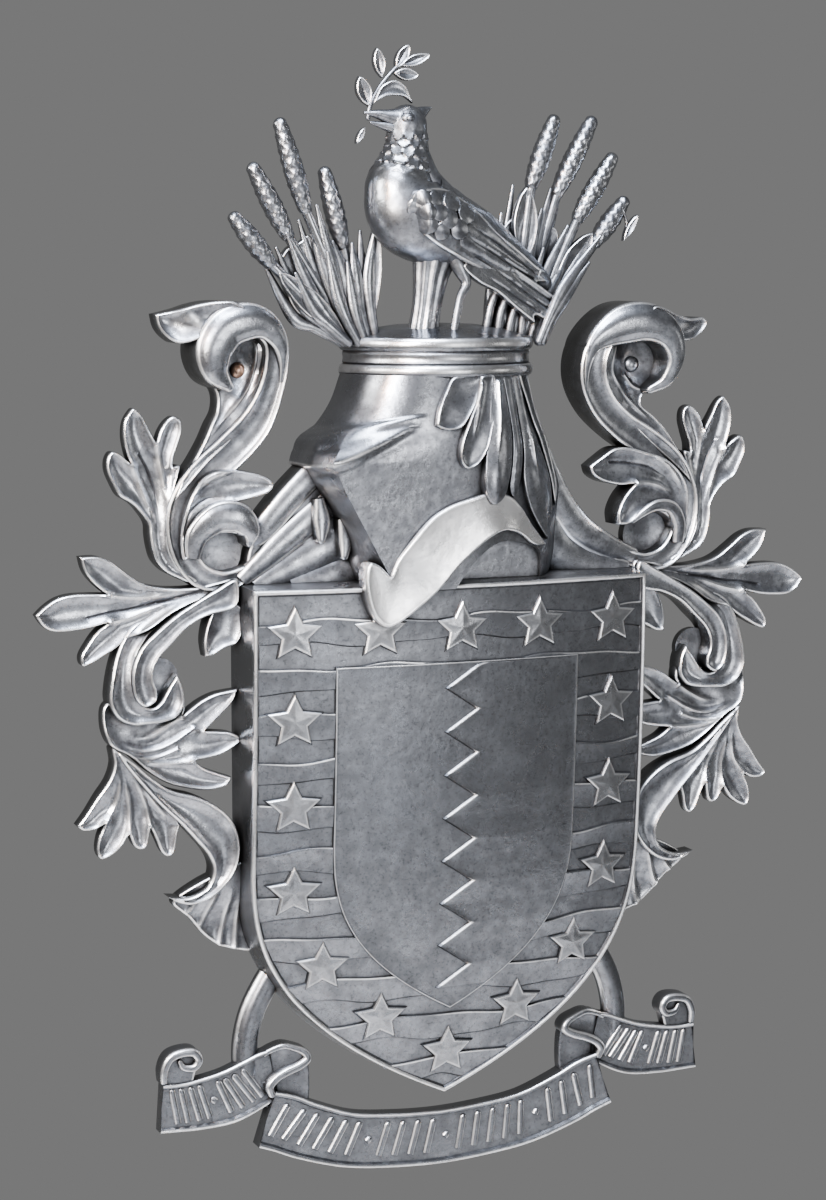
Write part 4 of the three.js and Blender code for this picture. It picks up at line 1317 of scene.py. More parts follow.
    def collar(self, x: np.ndarray, z: np.ndarray) -> np.ndarray:
        """Depth of the surface that the lower band follows, which runs on past the visor's edge."""
        out = np.clip(x / (self.collar_reach * self.gauge.helm_height), 0, 1)
        return self.gauge.helm_depth * self.collar_depth * np.sqrt(1 - out**2)

    def brow(self, x: np.ndarray, up: float) -> tuple[np.ndarray, np.ndarray]:
        """Rise and wear of the fold at the brow, which runs from the left corner to a point.

        Args:
            x: Places across, in millimetres.
            up: Height above the shield's top.

        Returns:
            The rise and the wear at each place.
        """
        low, high = (read_off(rows, x) for rows in (self.brow_low, self.brow_high))
        share = (up - low) / (high - low)
        fade = np.clip((self.brow_low[-1][0] - x) / self.brow_fade, 0, 1) ** 0.7
        lines = 0.7 * np.exp(-(((share - 0.1) / 0.09) ** 2)) + 0.3 * np.exp(-(((share - 0.9) / 0.08) ** 2))
        return self.brow_rise * fade * read_off(self.brow_shape, share), fade * lines

    def body(self, grow: float = 0.0) -> Shell:
        """The helm itself: a flat visor with a crisp edge on the left, round on the right and above.

        Args:
            grow: How much larger it is made all round, in millimetres.

        Returns:
            The shell.
        """
        height, corner = self.gauge.helm_height, self.visor_turn
        swing = np.linspace(0, math.pi / 2, 37)
        bow = np.stack([-np.cos(swing[:-1]) ** (2 / 3), np.sin(swing[:-1]) ** (2 / 3)], axis=1)
        round_side = np.stack([np.cos(swing[::-1]), np.sin(swing[::-1])], axis=1)
        rings, wear = [], []
        for up in np.linspace(-0.02, 1.02, 140):
            left, right, depth = self.level(np.array([up]))[0]
            turned = float(self.roundness(np.array([up]))[0])
            plate = float(self.plate_reach(up, left))
            flat = np.vstack([
                np.stack([np.full(8, -left), np.linspace(0, corner, 9)[:-1]], axis=1),
                np.stack([np.linspace(-left, -plate, 9)[:-1], np.linspace(corner, 1, 9)[:-1]], axis=1),
                np.stack([np.linspace(-plate, 0, 21)[:-1], np.ones(20)], axis=1)])
            section = np.vstack([(1 - turned) * flat + turned * bow * (left, 1), round_side * (right, 1)])
            rise, edge = self.brow(section[:, 0] * height, up * height)
            xs, depths = section[:, 0] * height, section[:, 1] * self.gauge.helm_depth * depth
            swell = 1 + rise / np.hypot(xs, depths)
            xs, depths = xs * swell + np.sign(xs) * grow, depths * swell + grow
            depths[0] = depths[-1] = 0.0
            rings.append(ring_at(xs, depths, self.gauge.shield_top + up * height))
            edge[16] = max(edge[16], 0.2 * (1 - turned))
            wear.append(edge)
        return lofted(np.array(rings), np.array(wear))

    def rolled(self, low: float, tall: float) -> list[Row]:
        """One rolled bead of the ring.

        Args:
            low: Height of its lower edge.
            tall: Half its height.

        Returns:
            Rows of reach, height and wear, from below.
        """
        rows = []
        for angle in range(-90, 91, 15):
            turn = math.radians(angle)
            rows.append((0.953 + 0.047 * math.cos(turn), low + tall + tall * math.sin(turn),
                         0.6 if -30 < angle < 75 else 0))
        return rows

    def ring(self) -> Shell:
        """The ring, with a rolled bead at its top and bottom, a hollow band between and a low dome.

        Returns:
            The shell.
        """
        half, height = self.ring_width / 2, self.gauge.ring_height
        lower, upper = self.bead * 1.25, self.bead * 1.35
        between = height - 2 * (lower + upper) - 4.4
        profile = [(0.02, -2, 0), (0.95, -2, 0), (0.955, 0.5, 0), *self.rolled(1.0, lower)]
        profile += [(0.968 - 0.012 * math.sin(math.pi * share), 2 + 2 * lower + share * between, 0.4)
                    for share in np.linspace(0.08, 0.92, 7)]
        profile += self.rolled(height - 2 * upper - 0.6, upper)
        profile += [(0.94, height - 0.4, 0), (0.9, height + 0.3, 0), (0.72, height + self.dome * 0.55, 0),
                    (0.4, height + self.dome * 0.9, 0), (0.05, height + self.dome, 0)]
        angles = np.linspace(0, math.pi, 65)
        rings, wear = [], []
        for share, z, bright in profile:
            depths = np.sin(angles) * share * self.ring_depth
            depths[0] = depths[-1] = 0.0
            rings.append(ring_at(np.cos(angles) * share * half, depths, self.gauge.ring_base + z))
            wear.append(np.full(65, bright))
        return lofted(np.array(rings), np.array(wear))

    def applied_sheet(self, sheet: Sheet, base: Depth) -> Shell:
        """A sheet, whose places are measured up from the shield's top, on one of the helm's surfaces."""
        top = self.gauge.shield_top
        return sheet.shell(lambda x, z: base(x, z + top)).moved(0, top)

    def neck(self) -> Shell:
        """The hollow under the lower band.

        Returns:
            The shell.
        """
        height = self.gauge.helm_height
        corners = flowing([(x * height, self.gauge.shield_top + up * height) for x, up in self.hollow], 4.0)
        rings = [ring_at(corners[:, 0], depth, corners[:, 1]) for depth in (self.hollow_floor,
                                                                            self.hollow_front)]
        return lofted(np.array(rings), np.zeros((2, len(corners))))

    def build(self, finish: Material, room: Shell) -> Object:
        """Builds and dresses the helm.

        Args:
            finish: Its material.
            room: The room that the shield takes.

        Returns:
            The piece.
        """
        piece = solid("helm_body", [self.body()], [self.neck()])
        parts = [self.ring(), self.applied_sheet(self.gorget, self.collar)]
        parts += [self.applied_sheet(sheet, self.surface) for sheet in self.drops]
        combined(piece, [shell.made(f"part_{n}") for n, shell in enumerate(parts)], "UNION")
        combined(piece, [room.made("room")], "DIFFERENCE")
        piece.name = "helm_casting"
        return dressed(piece, finish, "helm", crease=32)


# Mantling


class Side(Enum):
    """The viewer's side of the object."""

    LEFT = "left"
    RIGHT = "right"


@dataclass
class Mantling:
    """One half of the leafy mantling.

    Its rows hold the place out from the shield's side, the height above the shield's top, the half
    width and the depth, all in millimetres.
    """

    gauge: Gauge
    side: Side
    stem_foot: Rows = ((-8, 14, 8, 24), (18, 6, 10, 26), (44, 15, 12, 26), (60, 43, 13, 26), (60, 76, 14, 27),
                       (42, 105, 16, 30))
    stem_left: Rows = ((14, 130, 17, 34), (-10, 156, 16, 38), (-23, 184, 13, 42), (-29, 212, 12, 46),
                       (-27, 236, 12, 49), (-12, 252, 12, 50), (4, 257, 10, 50))
    stem_right: Rows = ((14, 127, 16, 34), (-16, 146, 15, 38), (-40, 168, 15, 42), (-53, 194, 15, 46),
                        (-52, 220, 14, 49), (-38, 240, 12, 50), (-18, 248, 10, 50))
    roll_left: Rows = ((-34, 196, 1.5, 43), (-35, 214, 4, 48), (-31, 234, 9, 53), (-17, 250, 14, 56),
                       (2, 254, 18, 58), (22, 247, 19, 58), (34, 228, 18, 57), (32, 207, 13, 53),
                       (19, 193, 5, 47))
    roll_right: Rows = ((-60, 182, 1.5, 42), (-61, 206, 4, 47), (-53, 230, 10, 52), (-24, 247, 19, 56),
                        (5, 250, 19, 58), (28, 237, 15, 57), (36, 214, 10, 54), (28, 192, 7, 48),
                        (12, 182, 4, 42))
    channel_left: Sheet = Sheet(
        ((68, 84, 1), (60, 106), (48, 124), (38, 141), (31, 156), (24, 170), (24, 186), (34, 202), (38, 222),
         (28, 240), (2, 246), (-22, 240), (-32, 215), (-28, 190), (-16, 168), (4, 148), (34, 120), (56, 96)),
        ((66, 90, 27), (34, 140, 25), (22, 176, 20), (14, 215, 15), (1, 207, 17), (-24, 222, 42),
         (-20, 192, 36), (0, 165, 34), (24, 135, 32)), cup=1.2, spread=8.0, bead=1.0,
        creases=(Crease(((-12, 232), (-12, 208), (-4, 188), (10, 170), (26, 152), (38, 136)), 2.4, 1.6),
                 Crease(((-20, 236), (-20, 212), (-12, 192), (0, 174)), 1.6, 1.3)))
    channel_right: Sheet = Sheet(
        ((68, 84, 1), (58, 108), (46, 128), (34, 144), (22, 156), (10, 166), (12, 176), (30, 184), (38, 204),
         (32, 228), (8, 244), (-24, 240), (-44, 215), (-44, 190), (-30, 166), (-4, 146), (30, 118), (56, 96)),
        ((66, 90, 27), (34, 138, 27), (10, 168, 24), (16, 200, 16), (1, 207, 17), (-40, 215, 42),
         (-30, 180, 38), (0, 150, 33)), cup=1.2, spread=8.0, bead=1.0,
        creases=(Crease(((-24, 226), (-28, 204), (-18, 184), (0, 166), (20, 148), (36, 132)), 2.0, 1.8),
                 Crease(((-9, 196), (-2, 187), (8, 182), (20, 183), (31, 194), (34, 212)), 2.6, 1.6)))
    curl_left: Rows = ((50, 30, 8, 30), (46, 52, 12, 36), (28, 68, 15, 42), (8, 68, 15, 44), (-4, 55, 10, 42),
                       (-4, 44, 4, 38))
    curl_right: Rows = ((52, 26, 6, 30), (51, 46, 7, 34), (40, 62, 7, 38), (22, 65, 6, 40), (6, 58, 4, 40),
                        (-4, 50, 2, 38))
    cloth: Sheet = Sheet(
        ((-4, -8), (-10, 40), (-44, 74), (-84, 110), (-124, 146), (-150, 150), (-150, -8)),
        ((-20, 20, 22), (-120, 60, 27), (-100, 110, 30)), cup=0.5, bead=0.2)
    top_leaf_left: Sheet = Sheet(
        ((2, 262), (14, 272), (31, 273), (50, 270), (68, 265), (88, 261, 1), (85, 249), (78, 240), (68, 234),
         (56, 235), (45, 239), (31, 243), (14, 249)),
        ((8, 260, 54), (45, 256, 49), (88, 260, 38)), cup=5.0, spread=8.0, bead=1.3, root=(0, 262), reach=95,
        creases=(
            Crease(((40, 248), (54, 256), (70, 258)), 2.0, 5.0),))
    top_leaf_right: Sheet = Sheet(
        ((0, 258), (10, 266), (24, 263), (38, 257), (55, 253), (70, 254), (75, 248), (70, 240), (58, 232),
         (44, 231), (32, 236), (18, 244)),
        ((8, 256, 54), (40, 244, 48), (74, 246, 40)), cup=3.5, spread=6.0, bead=1.3, root=(0, 256), reach=110,
        creases=(
            Crease(((30, 242), (44, 245), (60, 245)), 1.6, 4.0),))
    upright: Sheet = Sheet(
        ((51, 6), (65, 12), (76, 18), (85, 28), (89, 40), (91, 53), (92, 64), (100, 76), (108, 84), (119, 91),
         (126, 103), (131, 115), (131, 126), (126, 133), (117, 129), (108, 121, 1), (112, 132), (115, 147),
         (114, 161), (108, 171), (104, 173), (97, 167), (90, 153), (83, 140, 1), (79, 152), (73, 161),
         (66, 165), (59, 161), (58, 150), (62, 137), (66, 126), (67, 117, 1), (60, 118), (62, 106), (67, 91),
         (72, 72), (73, 53), (71, 37), (61, 20), (45, 9)),
        ((100, 110, 21), (60, 30, 24)), root=(70, 40), reach=130, creases=(
            Crease(((98, 128), (91, 115), (86, 101), (82, 86), (81, 70)), -2.6, 1.3),
            Crease(((83, 139), (79, 119), (75, 96), (74, 72)), 2.8, 3.0),
            Crease(((108, 120), (99, 101), (90, 77), (82, 53)), 2.8, 3.0),
            Crease(((67, 116), (70, 96), (75, 70)), 1.8, 2.4)))
    inner_left: Sheet = Sheet(
        ((60, 30), (62, 54), (58, 77), (52, 92), (43, 105), (32, 112), (20, 114), (6, 113), (-10, 110),
         (-22, 105), (-27, 98), (-21, 91), (-4, 86), (15, 82, 1), (3, 77), (-6, 71), (-10, 61), (-10, 52),
         (4, 52), (20, 54), (36, 50), (46, 42), (51, 33)),
        ((58, 40, 28), (45, 95, 34), (20, 105, 38), (-20, 98, 40), (-5, 60, 38)), cup=4.0, root=(55, 60),
        reach=110, creases=(
            Crease(((59, 52), (56, 68), (48, 79), (34, 87), (20, 88)), -2.4, 1.4),
            Crease(((18, 112), (28, 108), (38, 103), (46, 96), (53, 82)), 3.0, 2.6),
            Crease(((15, 83), (30, 80), (43, 72)), 2.2, 2.6)))
    inner_right: Sheet = Sheet(
        ((60, 30), (62, 54), (60, 77), (54, 92), (44, 104), (30, 113), (11, 119), (-8, 124), (-26, 124),
         (-42, 115), (-54, 107, 1), (-50, 98), (-38, 91), (-20, 87), (-3, 88, 1), (-15, 75), (-22, 60),
         (-21, 47, 1), (-8, 48), (6, 58), (20, 60), (36, 54), (46, 44), (51, 33)),
        ((58, 40, 28), (45, 95, 34), (10, 105, 38), (-45, 106, 38), (-15, 60, 38)), cup=4.5, root=(55, 60),
        reach=130, creases=(
            Crease(((-3, 88), (14, 88), (32, 82), (48, 68)), 3.2, 3.0),
            Crease(((-30, 110), (-6, 108), (20, 102), (44, 86)), -2.2, 1.4),
            Crease(((22, 113), (36, 104), (48, 90), (55, 72)), 2.4, 2.4)))
    spreading: Sheet = Sheet(
        ((5, 9), (26, 6), (46, 2), (69, 2), (89, 5), (102, 10), (116, 20), (129, 30), (142, 35), (158, 35, 1),
         (154, 21), (145, 9), (133, -1, 1), (149, 0), (167, 0), (181, -3), (193, -10), (202, -18, 1),
         (194, -29), (183, -34), (164, -34), (148, -32), (132, -28, 1), (143, -36), (152, -47), (159, -59),
         (157, -68), (148, -66), (137, -60), (125, -53), (112, -43, 1), (91, -37), (66, -21), (36, -9),
         (5, -3)),
        ((10, 2, 24), (120, -10, 21)), root=(40, 0), reach=170, creases=(
            Crease(((150, -23), (130, -19), (111, -17), (91, -13), (69, -9), (41, -3), (20, 0)), -2.6, 1.4),
            Crease(((133, -1), (110, -5), (81, -5), (51, -2)), 3.0, 3.2),
            Crease(((132, -28), (111, -24), (86, -16), (61, -10)), 3.0, 3.2),
            Crease(((112, -43), (96, -33), (76, -20), (51, -10)), 2.0, 3.0)))
    loop_outer: Sheet = Sheet(
        ((76, -22), (104, -30), (118, -44), (127, -66), (132, -90), (132, -106), (124, -120), (110, -127),
         (96, -127), (80, -126), (66, -122), (58, -110), (59, -94), (65, -81, 1), (73, -92), (82, -106),
         (92, -111), (102, -103), (106, -84), (104, -62), (94, -46), (80, -34)),
        ((84, -28, 15), (112, -48, 22), (125, -100, 25), (100, -118, 25), (60, -90, 21)), cup=5.5, bead=1.4,
        edge=2.0)
    loop_inner: Sheet = Sheet(
        ((7, 8), (28, -1), (48, -12), (68, -24), (86, -38), (100, -51), (108, -66), (111, -83), (108, -101),
         (98, -110), (87, -104), (87, -93, 1), (90, -84), (89, -73), (83, -62), (71, -50), (55, -35), (35, -25),
         (7, -17)),
        ((7, -4, 29), (60, -30, 28), (100, -90, 27)), cup=3.0, spread=5.0)
    small: Sheet = Sheet(((20, -11), (30, -22), (36, -36), (39, -51), (38, -65, 1), (29, -64), (18, -58),
                          (3, -51), (-2, -22)), ((20, -30, 24),), root=(15, -10), reach=70)
    tongues: Sheet = Sheet(
        ((133, -142), (137, -128), (136, -110), (126, -104), (104, -112), (84, -112), (70, -104), (62, -98),
         (57, -106), (56, -116), (59, -122, 1), (51, -116), (39, -108), (24, -102), (3, -99, 1), (8, -111),
         (20, -123), (37, -138, 1), (25, -139), (11, -141), (-3, -148, 1), (8, -156), (24, -163), (48, -166, 1),
         (36, -175), (10, -185, 1), (16, -193), (33, -196), (53, -193), (75, -186), (94, -174), (112, -158),
         (126, -150)),
        ((120, -145, 21), (128, -112, 14), (80, -116, 14), (60, -150, 20), (10, -150, 18)), root=(100, -145),
        reach=140, creases=(
            Crease(((49, -135), (57, -140), (67, -146), (82, -152), (97, -153), (112, -148), (122, -142)), 3.4,
                   2.2),
            Crease(((64, -154), (82, -160), (102, -160), (118, -152)), 2.2, 1.8),
            Crease(((48, -166), (72, -167), (97, -164), (118, -151)), 2.8, 2.6),
            Crease(((59, -122), (74, -132), (92, -141), (112, -142)), 2.4, 2.8)))
    hanging: Sheet = Sheet(
        ((129, -148), (128, -164), (133, -179), (144, -194), (155, -210), (164, -221, 1), (158, -226),
         (146, -226), (137, -221, 1), (143, -234), (145, -247), (141, -255), (132, -253), (121, -245),
         (113, -233, 1), (108, -245), (101, -249), (95, -245), (92, -228, 1), (87, -239), (81, -253),
         (74, -258), (68, -253), (65, -238), (62, -228, 1), (73, -208), (92, -187), (114, -163)),
        ((120, -160, 21), (110, -230, 17)), root=(120, -155), reach=120, creases=(
            Crease(((137, -221), (126, -204), (122, -185), (124, -165)), 3.0, 2.6),
            Crease(((113, -233), (112, -209), (115, -190), (120, -168)), 3.0, 2.6),
            Crease(((92, -228), (96, -206), (105, -186), (117, -168)), 2.8, 2.4),
            Crease(((78, -217), (92, -199), (107, -181)), 2.0, 2.2)))
    hook: Sheet = Sheet(
        ((124, -152), (107, -165), (93, -178), (73, -192), (48, -200), (29, -210), (14, -224), (6, -240),
         (4, -257), (8, -274), (18, -289), (33, -301), (50, -306), (64, -304), (76, -297, 1), (56, -298),
         (41, -292), (34, -283), (32, -271), (37, -258), (48, -244), (63, -227), (83, -207), (103, -184),
         (120, -162)),
        ((110, -165, 22), (15, -240, 26), (60, -302, 24)), cup=5.5, bead=1.5, edge=2.1, root=(80, -200),
        reach=190)
    drape: Sheet = Sheet(
        ((44, -286), (69, -303), (59, -316, 1), (51, -323), (41, -336, 1), (32, -345), (20, -354, 1), (4, -359),
         (-15, -361), (-23, -341), (-16, -301), (-6, -260), (3, -269)),
        ((20, -280, 20), (20, -352, 4), (-10, -352, 4)), cup=2.0, bead=0.5, creases=(
            Crease(((41, -333), (30, -307), (20, -278)), 2.6, 3.0),
            Crease(((20, -352), (14, -318), (7, -289)), 2.6, 3.0),
            Crease(((4, -357), (2, -324), (-1, -294)), 2.2, 3.0),
            Crease(((55, -318), (44, -304)), 2.0, 2.6)))
    drapery_left: Sequence[Rows] = (
        ((-8, 38, 6, 20), (-20, 52, 12, 28), (-46, 82, 13, 32), (-80, 115, 13, 34), (-120, 150, 13, 36)),
        ((0, 6, 8, 26), (-40, 40, 13, 30), (-85, 76, 14, 32), (-130, 110, 14, 32)),
        ((-14, -2, 10, 26), (-65, 22, 20, 28), (-110, 45, 22, 30), (-150, 60, 22, 30)),
        ((-50, -4, 14, 28), (-110, 8, 24, 30), (-150, 16, 24, 30)),
        ((-74, 84, 5, 40), (-77, 62, 9, 40), (-76, 44, 4, 40)),
        ((-97, 64, 5, 42), (-101, 44, 8, 42), (-99, 28, 4, 42)))
    drapery_right: Sequence[Rows] = (
        ((-125, 175, 8, 40), (-112, 135, 13, 36), (-96, 98, 15, 32), (-78, 68, 15, 30), (-56, 42, 15, 28),
         (-26, 24, 13, 26), (2, 14, 9, 24)),
        ((-120, 90, 20, 28), (-96, 50, 22, 28), (-80, 22, 22, 27), (-50, 6, 18, 26), (-10, 0, 12, 26)))
    dishes: Rows = ((24, 33, 27, 11, 4), (80, -86, 20, 8, 2))

    def placed(self, rows: Rows) -> list[Row]:
        """Rows in the object's own place, on the right."""
        gauge = self.gauge
        return [(gauge.shield_half + out, gauge.shield_top + up, half, depth) for out, up, half, depth in rows]

    def dish(self, out: float, up: float, radius: float, depth: float, cup: float) -> Shell:
        """A round, dished floor.

        Args:
            out: Place of its middle, out from the shield's side.
            up: Height of its middle above the shield's top.
            radius: Its radius.
            depth: Depth of its edge.
            cup: How much deeper its middle lies.

        Returns:
            The shell.
        """
        x, z = self.gauge.shield_half + out, self.gauge.shield_top + up
        angles = np.linspace(0, 2 * math.pi, 49)[:-1]
        profile = [(1.0, 0.0)] + [(share, depth - cup * (1 - share**2)) for share in np.linspace(1, 0.03, 12)]
        rings = [ring_at(x + np.cos(angles) * radius * share, level, z + np.sin(angles) * radius * share)
                 for share, level in profile]
        return lofted(np.array(rings), np.zeros((13, 48)))

    def leaf(self, sheet: Sheet) -> Shell:
        """A sheet's shell, carried from the shield's corner to the object's own place."""
        return sheet.shell().moved(self.gauge.shield_half, self.gauge.shield_top)

    def shells(self) -> list[Shell]:
        """Every carved form of the half, on the right.

        Returns:
            The shells.
        """
        if self.side is Side.LEFT:
            stem, roll, curl, drapery = self.stem_left, self.roll_left, self.curl_left, self.drapery_left
            own = (self.channel_left, self.top_leaf_left, self.inner_left)
        else:
            stem, roll, curl, drapery = self.stem_right, self.roll_right, self.curl_right, self.drapery_right
            own = (self.channel_right, self.top_leaf_right, self.inner_right)
        shells = [band(self.placed((*self.stem_foot, *stem)), Carved.STEM.value, 2.5),
                  band(self.placed(roll), Carved.ROLL.value, 2.0),
                  band(self.placed(curl), Carved.ROLL.value, 2.0)]
        shells += [self.leaf(sheet) for sheet in (
            *own, self.upright, self.spreading, self.loop_outer, self.loop_inner, self.small, self.tongues,
            self.hanging, self.hook, self.drape)]
        if self.side is Side.LEFT:
            shells.append(self.leaf(self.cloth))
        shells += [band(self.placed(rows), Carved.BOWED.value) for rows in drapery]
        shells += [self.dish(*row) for row in self.dishes]
        return shells

    def build(self, finish: Material, rooms: Sequence[Shell]) -> Object:
        """Builds and dresses the half.

        Args:
            finish: Its material.
            rooms: The room that the castings in front of it take.

        Returns:
            The piece.
        """
        shells = self.shells()
        if self.side is Side.LEFT:
            shells = [shell.mirrored() for shell in shells]
        name = f"mantling_{self.side.value}"
        return dressed(solid(f"{name}_casting", shells, rooms), finish, name)


# Screws


@dataclass
class Screw:
    """The domed screw in the eye of a scroll."""

    gauge: Gauge
    side: Side
    head_radius: float = 8.0
    head_rise: float = 5.0
    floor_depth: float = 18.0
    out: float = 1.0
    up: float = 207.0

    def build(self, finish: Material, slot: str) -> Object:
        """Builds and dresses the screw.

        Args:
            finish: Its material.
            slot: Not used.

        Returns:
            The piece.
        """
        sign = -1 if self.side is Side.LEFT else 1
        x, z = sign * (self.gauge.shield_half + self.out), self.gauge.shield_top + self.up
        seat = self.floor_depth + self.gauge.clearance
        bpy.ops.object.select_all(action="DESELECT")
        bpy.ops.mesh.primitive_uv_sphere_add(segments=40, ring_count=24, radius=self.head_radius * MM)
        piece = bpy.context.object
        points = np.array([v.co for v in piece.data.vertices]) / MM
        rise = self.head_rise / self.head_radius
        depth = np.where(points[:, 2] > 0, points[:, 2] * rise, 0) + seat
        turned = np.stack([x + points[:, 0], -depth, z + points[:, 1]], axis=1) * MM
        piece.data.vertices.foreach_set("co", turned.reshape(-1))
        piece.name = f"screw_{self.side.value}_head"
        applied(piece, "WELD", merge_threshold=0.00001)
        bpy.ops.object.mode_set(mode="EDIT")
        bpy.ops.mesh.select_all(action="SELECT")
        bpy.ops.mesh.normals_make_consistent(inside=False)
        bpy.ops.object.mode_set(mode="OBJECT")
        return dressed(piece, finish, f"screw_{self.side.value}")


# Ribbon


@dataclass
class Ribbon:
    """The folded ribbon under the shield, with a curl at each end and the two arms that carry it."""

    gauge: Gauge
    width: float = 55.0
    depth: float = 16.0
    middle_margin: float = 13.0
    side_margin: float = 14.0
    gap_below_tip: float = 25.0
    rim: float = 4.0
    sink: float = 3.0
    arm_width: float = 26.0
    stroke_height: float = 31.0
    stroke_half: float = 3.9
    stroke_lean: float = 7.0
    stroke_rise: float = 2.7
    dot_reach: float = 0.8
    arm_depth: float = 14.0
    groups: tuple[int, ...] = (6, 4, 5, 4)
    side_groups: tuple[int, ...] = (4, 4)
    middle: Rows = ((0, -27, 1.02, 0), (50, -24.5, 1.02, 0), (97, -18, 1.02, 1), (140, -3.5, 1.06, 2),
                    (165, 8.0, 1.08, 3), (184, 14.5, 1.05, 4))
    side: Rows = ((175, 58.5, 0.92, -1), (183, 56.5, 0.95, -1), (196, 50.5, 0.98, -1), (221, 40.5, 1.0, -2),
                  (252, 36.5, 0.93, -1), (273, 36, 0.88, 0), (291, 37, 0.88, 1))
    folds: tuple[Sheet, ...] = (
        Sheet(((184, 52), (174, 62), (156, 70), (143, 77, 1), (137, 60), (138, 24), (150, 14), (176, 20),
               (188, 36)),
              ((144, 44, 10), (160, 50, 12), (170, 35, 12.6), (188, 36, 11)), cup=0.4, bead=0.1, rim_wear=0.0),
        Sheet(((188, 81), (176, 85), (165, 87), (153, 85), (144, 79), (141, 71), (150, 64), (165, 59),
               (177, 52), (190, 50)),
              ((188, 66, 11.4), (174, 68, 13.2), (150, 72, 15.5)), cup=1.2, spread=5.0, bead=0.1, edge=1.5,
              rim_wear=0.0))
    fold_rim: Rows = ((186, 79, 0.1, -1), (176, 83.5, 0.1, 0), (165, 86, 0.11, 1), (154, 83, 0.12, 2),
                      (144, 78, 0.14, 3), (141, 71, 0.16, 4), (150, 65, 0.17, 5), (165, 60, 0.17, 6),
                      (176, 54, 0.17, 6), (181, 47, 0.16, 6), (179, 40, 0.14, 5))
    curl: Rows = ((288, 62, 0.13, 1), (288, 75, 0.15, 3), (282, 87, 0.16, 4), (270, 91, 0.16, 4),
                  (258, 90, 0.16, 4), (253, 82, 0.15, 4), (258, 75, 0.14, 3), (268, 76, 0.12, 2),
                  (272, 82, 0.08, 1))
    curl_floor: Sheet = Sheet(((289, 58), (290, 78), (283, 90), (270, 94), (257, 93), (251, 84), (255, 70),
                               (262, 56)),
                              ((270, 75, 13),), cup=0.0, bead=0.0)
    arm: Rows = ((43, 145), (27, 122), (13, 95), (6, 65), (6, 35))

    @property
    def top(self) -> float:
        """Height of the top edge of the ribbon's middle."""
        return -self.gauge.shield_top - self.gap_below_tip

    def placed(self, rows: Rows) -> list[Row]:
        """Rows as x, z, half width and depth."""
        return [(x, self.top + up, self.width / 2 * share, self.depth + lift) for x, up, share, lift in rows]

    def ribbon_section(self) -> Section:
        """A flat field between two raised rims.

        Returns:
            The cross-section.
        """
        half = self.width / 2
        inner, sunk = 1 - self.rim / half, self.sink / half
        right = ((1, 0), (inner, 0), (inner - 0.06, sunk))
        left = tuple((-side, drop) for side, drop in right[::-1])
        return Section((*right, (0, sunk), *left), bead=0.5, edge=1.5)

    def strokes(self, rows: Rows, groups: Sequence[int], margin: float) -> list[Shell]:
        """Shallow parallel strokes in groups, with a dot between one group and the next.

        Args:
            rows: The panel's rows.
            groups: How many strokes each group has.
            margin: Distance from the panel's ends at which they stop.

        Returns:
            A shell for each stroke and dot.
        """
        path = flowing(rows, 1.0)
        run, along = headings(path), travelled(path)
        marks = [stroke for count in groups for stroke in (*[True] * count, False)][:-1]
        pitch = (along[-1] - 2 * margin) / (len(marks) - 1)
        shells = []
        for n, stroke in enumerate(marks):
            at = int(np.argmin(np.abs(along - margin - n * pitch)))
            x, z, _, depth = path[at]
            tall = slant = self.dot_reach
            if stroke:
                tall, slant = self.stroke_height / 2, self.stroke_lean / 2
            step_x, step_z = run[at]
            side = math.copysign(1, step_x)
            tip_x, tip_z = side * (slant * step_x - tall * step_z), side * (tall * step_x + slant * step_z)
            level = depth - self.sink + self.stroke_rise
            ends = [(x + end * tip_x, z + end * tip_z, self.stroke_half, level) for end in (-1, 0, 1)]
            shells.append(band(ends, Carved.BAR.value, 1.5, foot=level - 5))
        return shells

    def build(self, finish: Material, room: Shell) -> Object:
        """Builds and dresses the ribbon.

        Args:
            finish: Its material.
            room: The room that the shield takes.

        Returns:
            The piece.
        """
        section, bar = self.ribbon_section(), Carved.BAR.value
        side, right = self.placed(self.side), self.placed(self.middle)
        middle = [(-x, z, half, depth) for x, z, half, depth in right[:0:-1]] + right
        arm = [(self.gauge.shield_half - inward, up - self.gauge.shield_top, self.arm_width / 2, self.arm_depth)
               for inward, up in self.arm]
        halves = [band(side, section, 2.5, square=True), band(self.placed(self.fold_rim), bar, 1.5),
                  band(self.placed(self.curl), bar, 1.5)]
        halves += [sheet.shell().moved(0, self.top) for sheet in (*self.folds, self.curl_floor)]
        halves += [*self.strokes(side[1:], self.side_groups, self.side_margin), band(arm, bar, 3.0)]
        shells = [band(middle, section, 2.5, square=True), *halves, *[shell.mirrored() for shell in halves]]
        shells += self.strokes(middle, self.groups, self.middle_margin)
        return dressed(solid("ribbon_casting", shells, [room]), finish, "motto_ribbon", crease=30)


# Crest


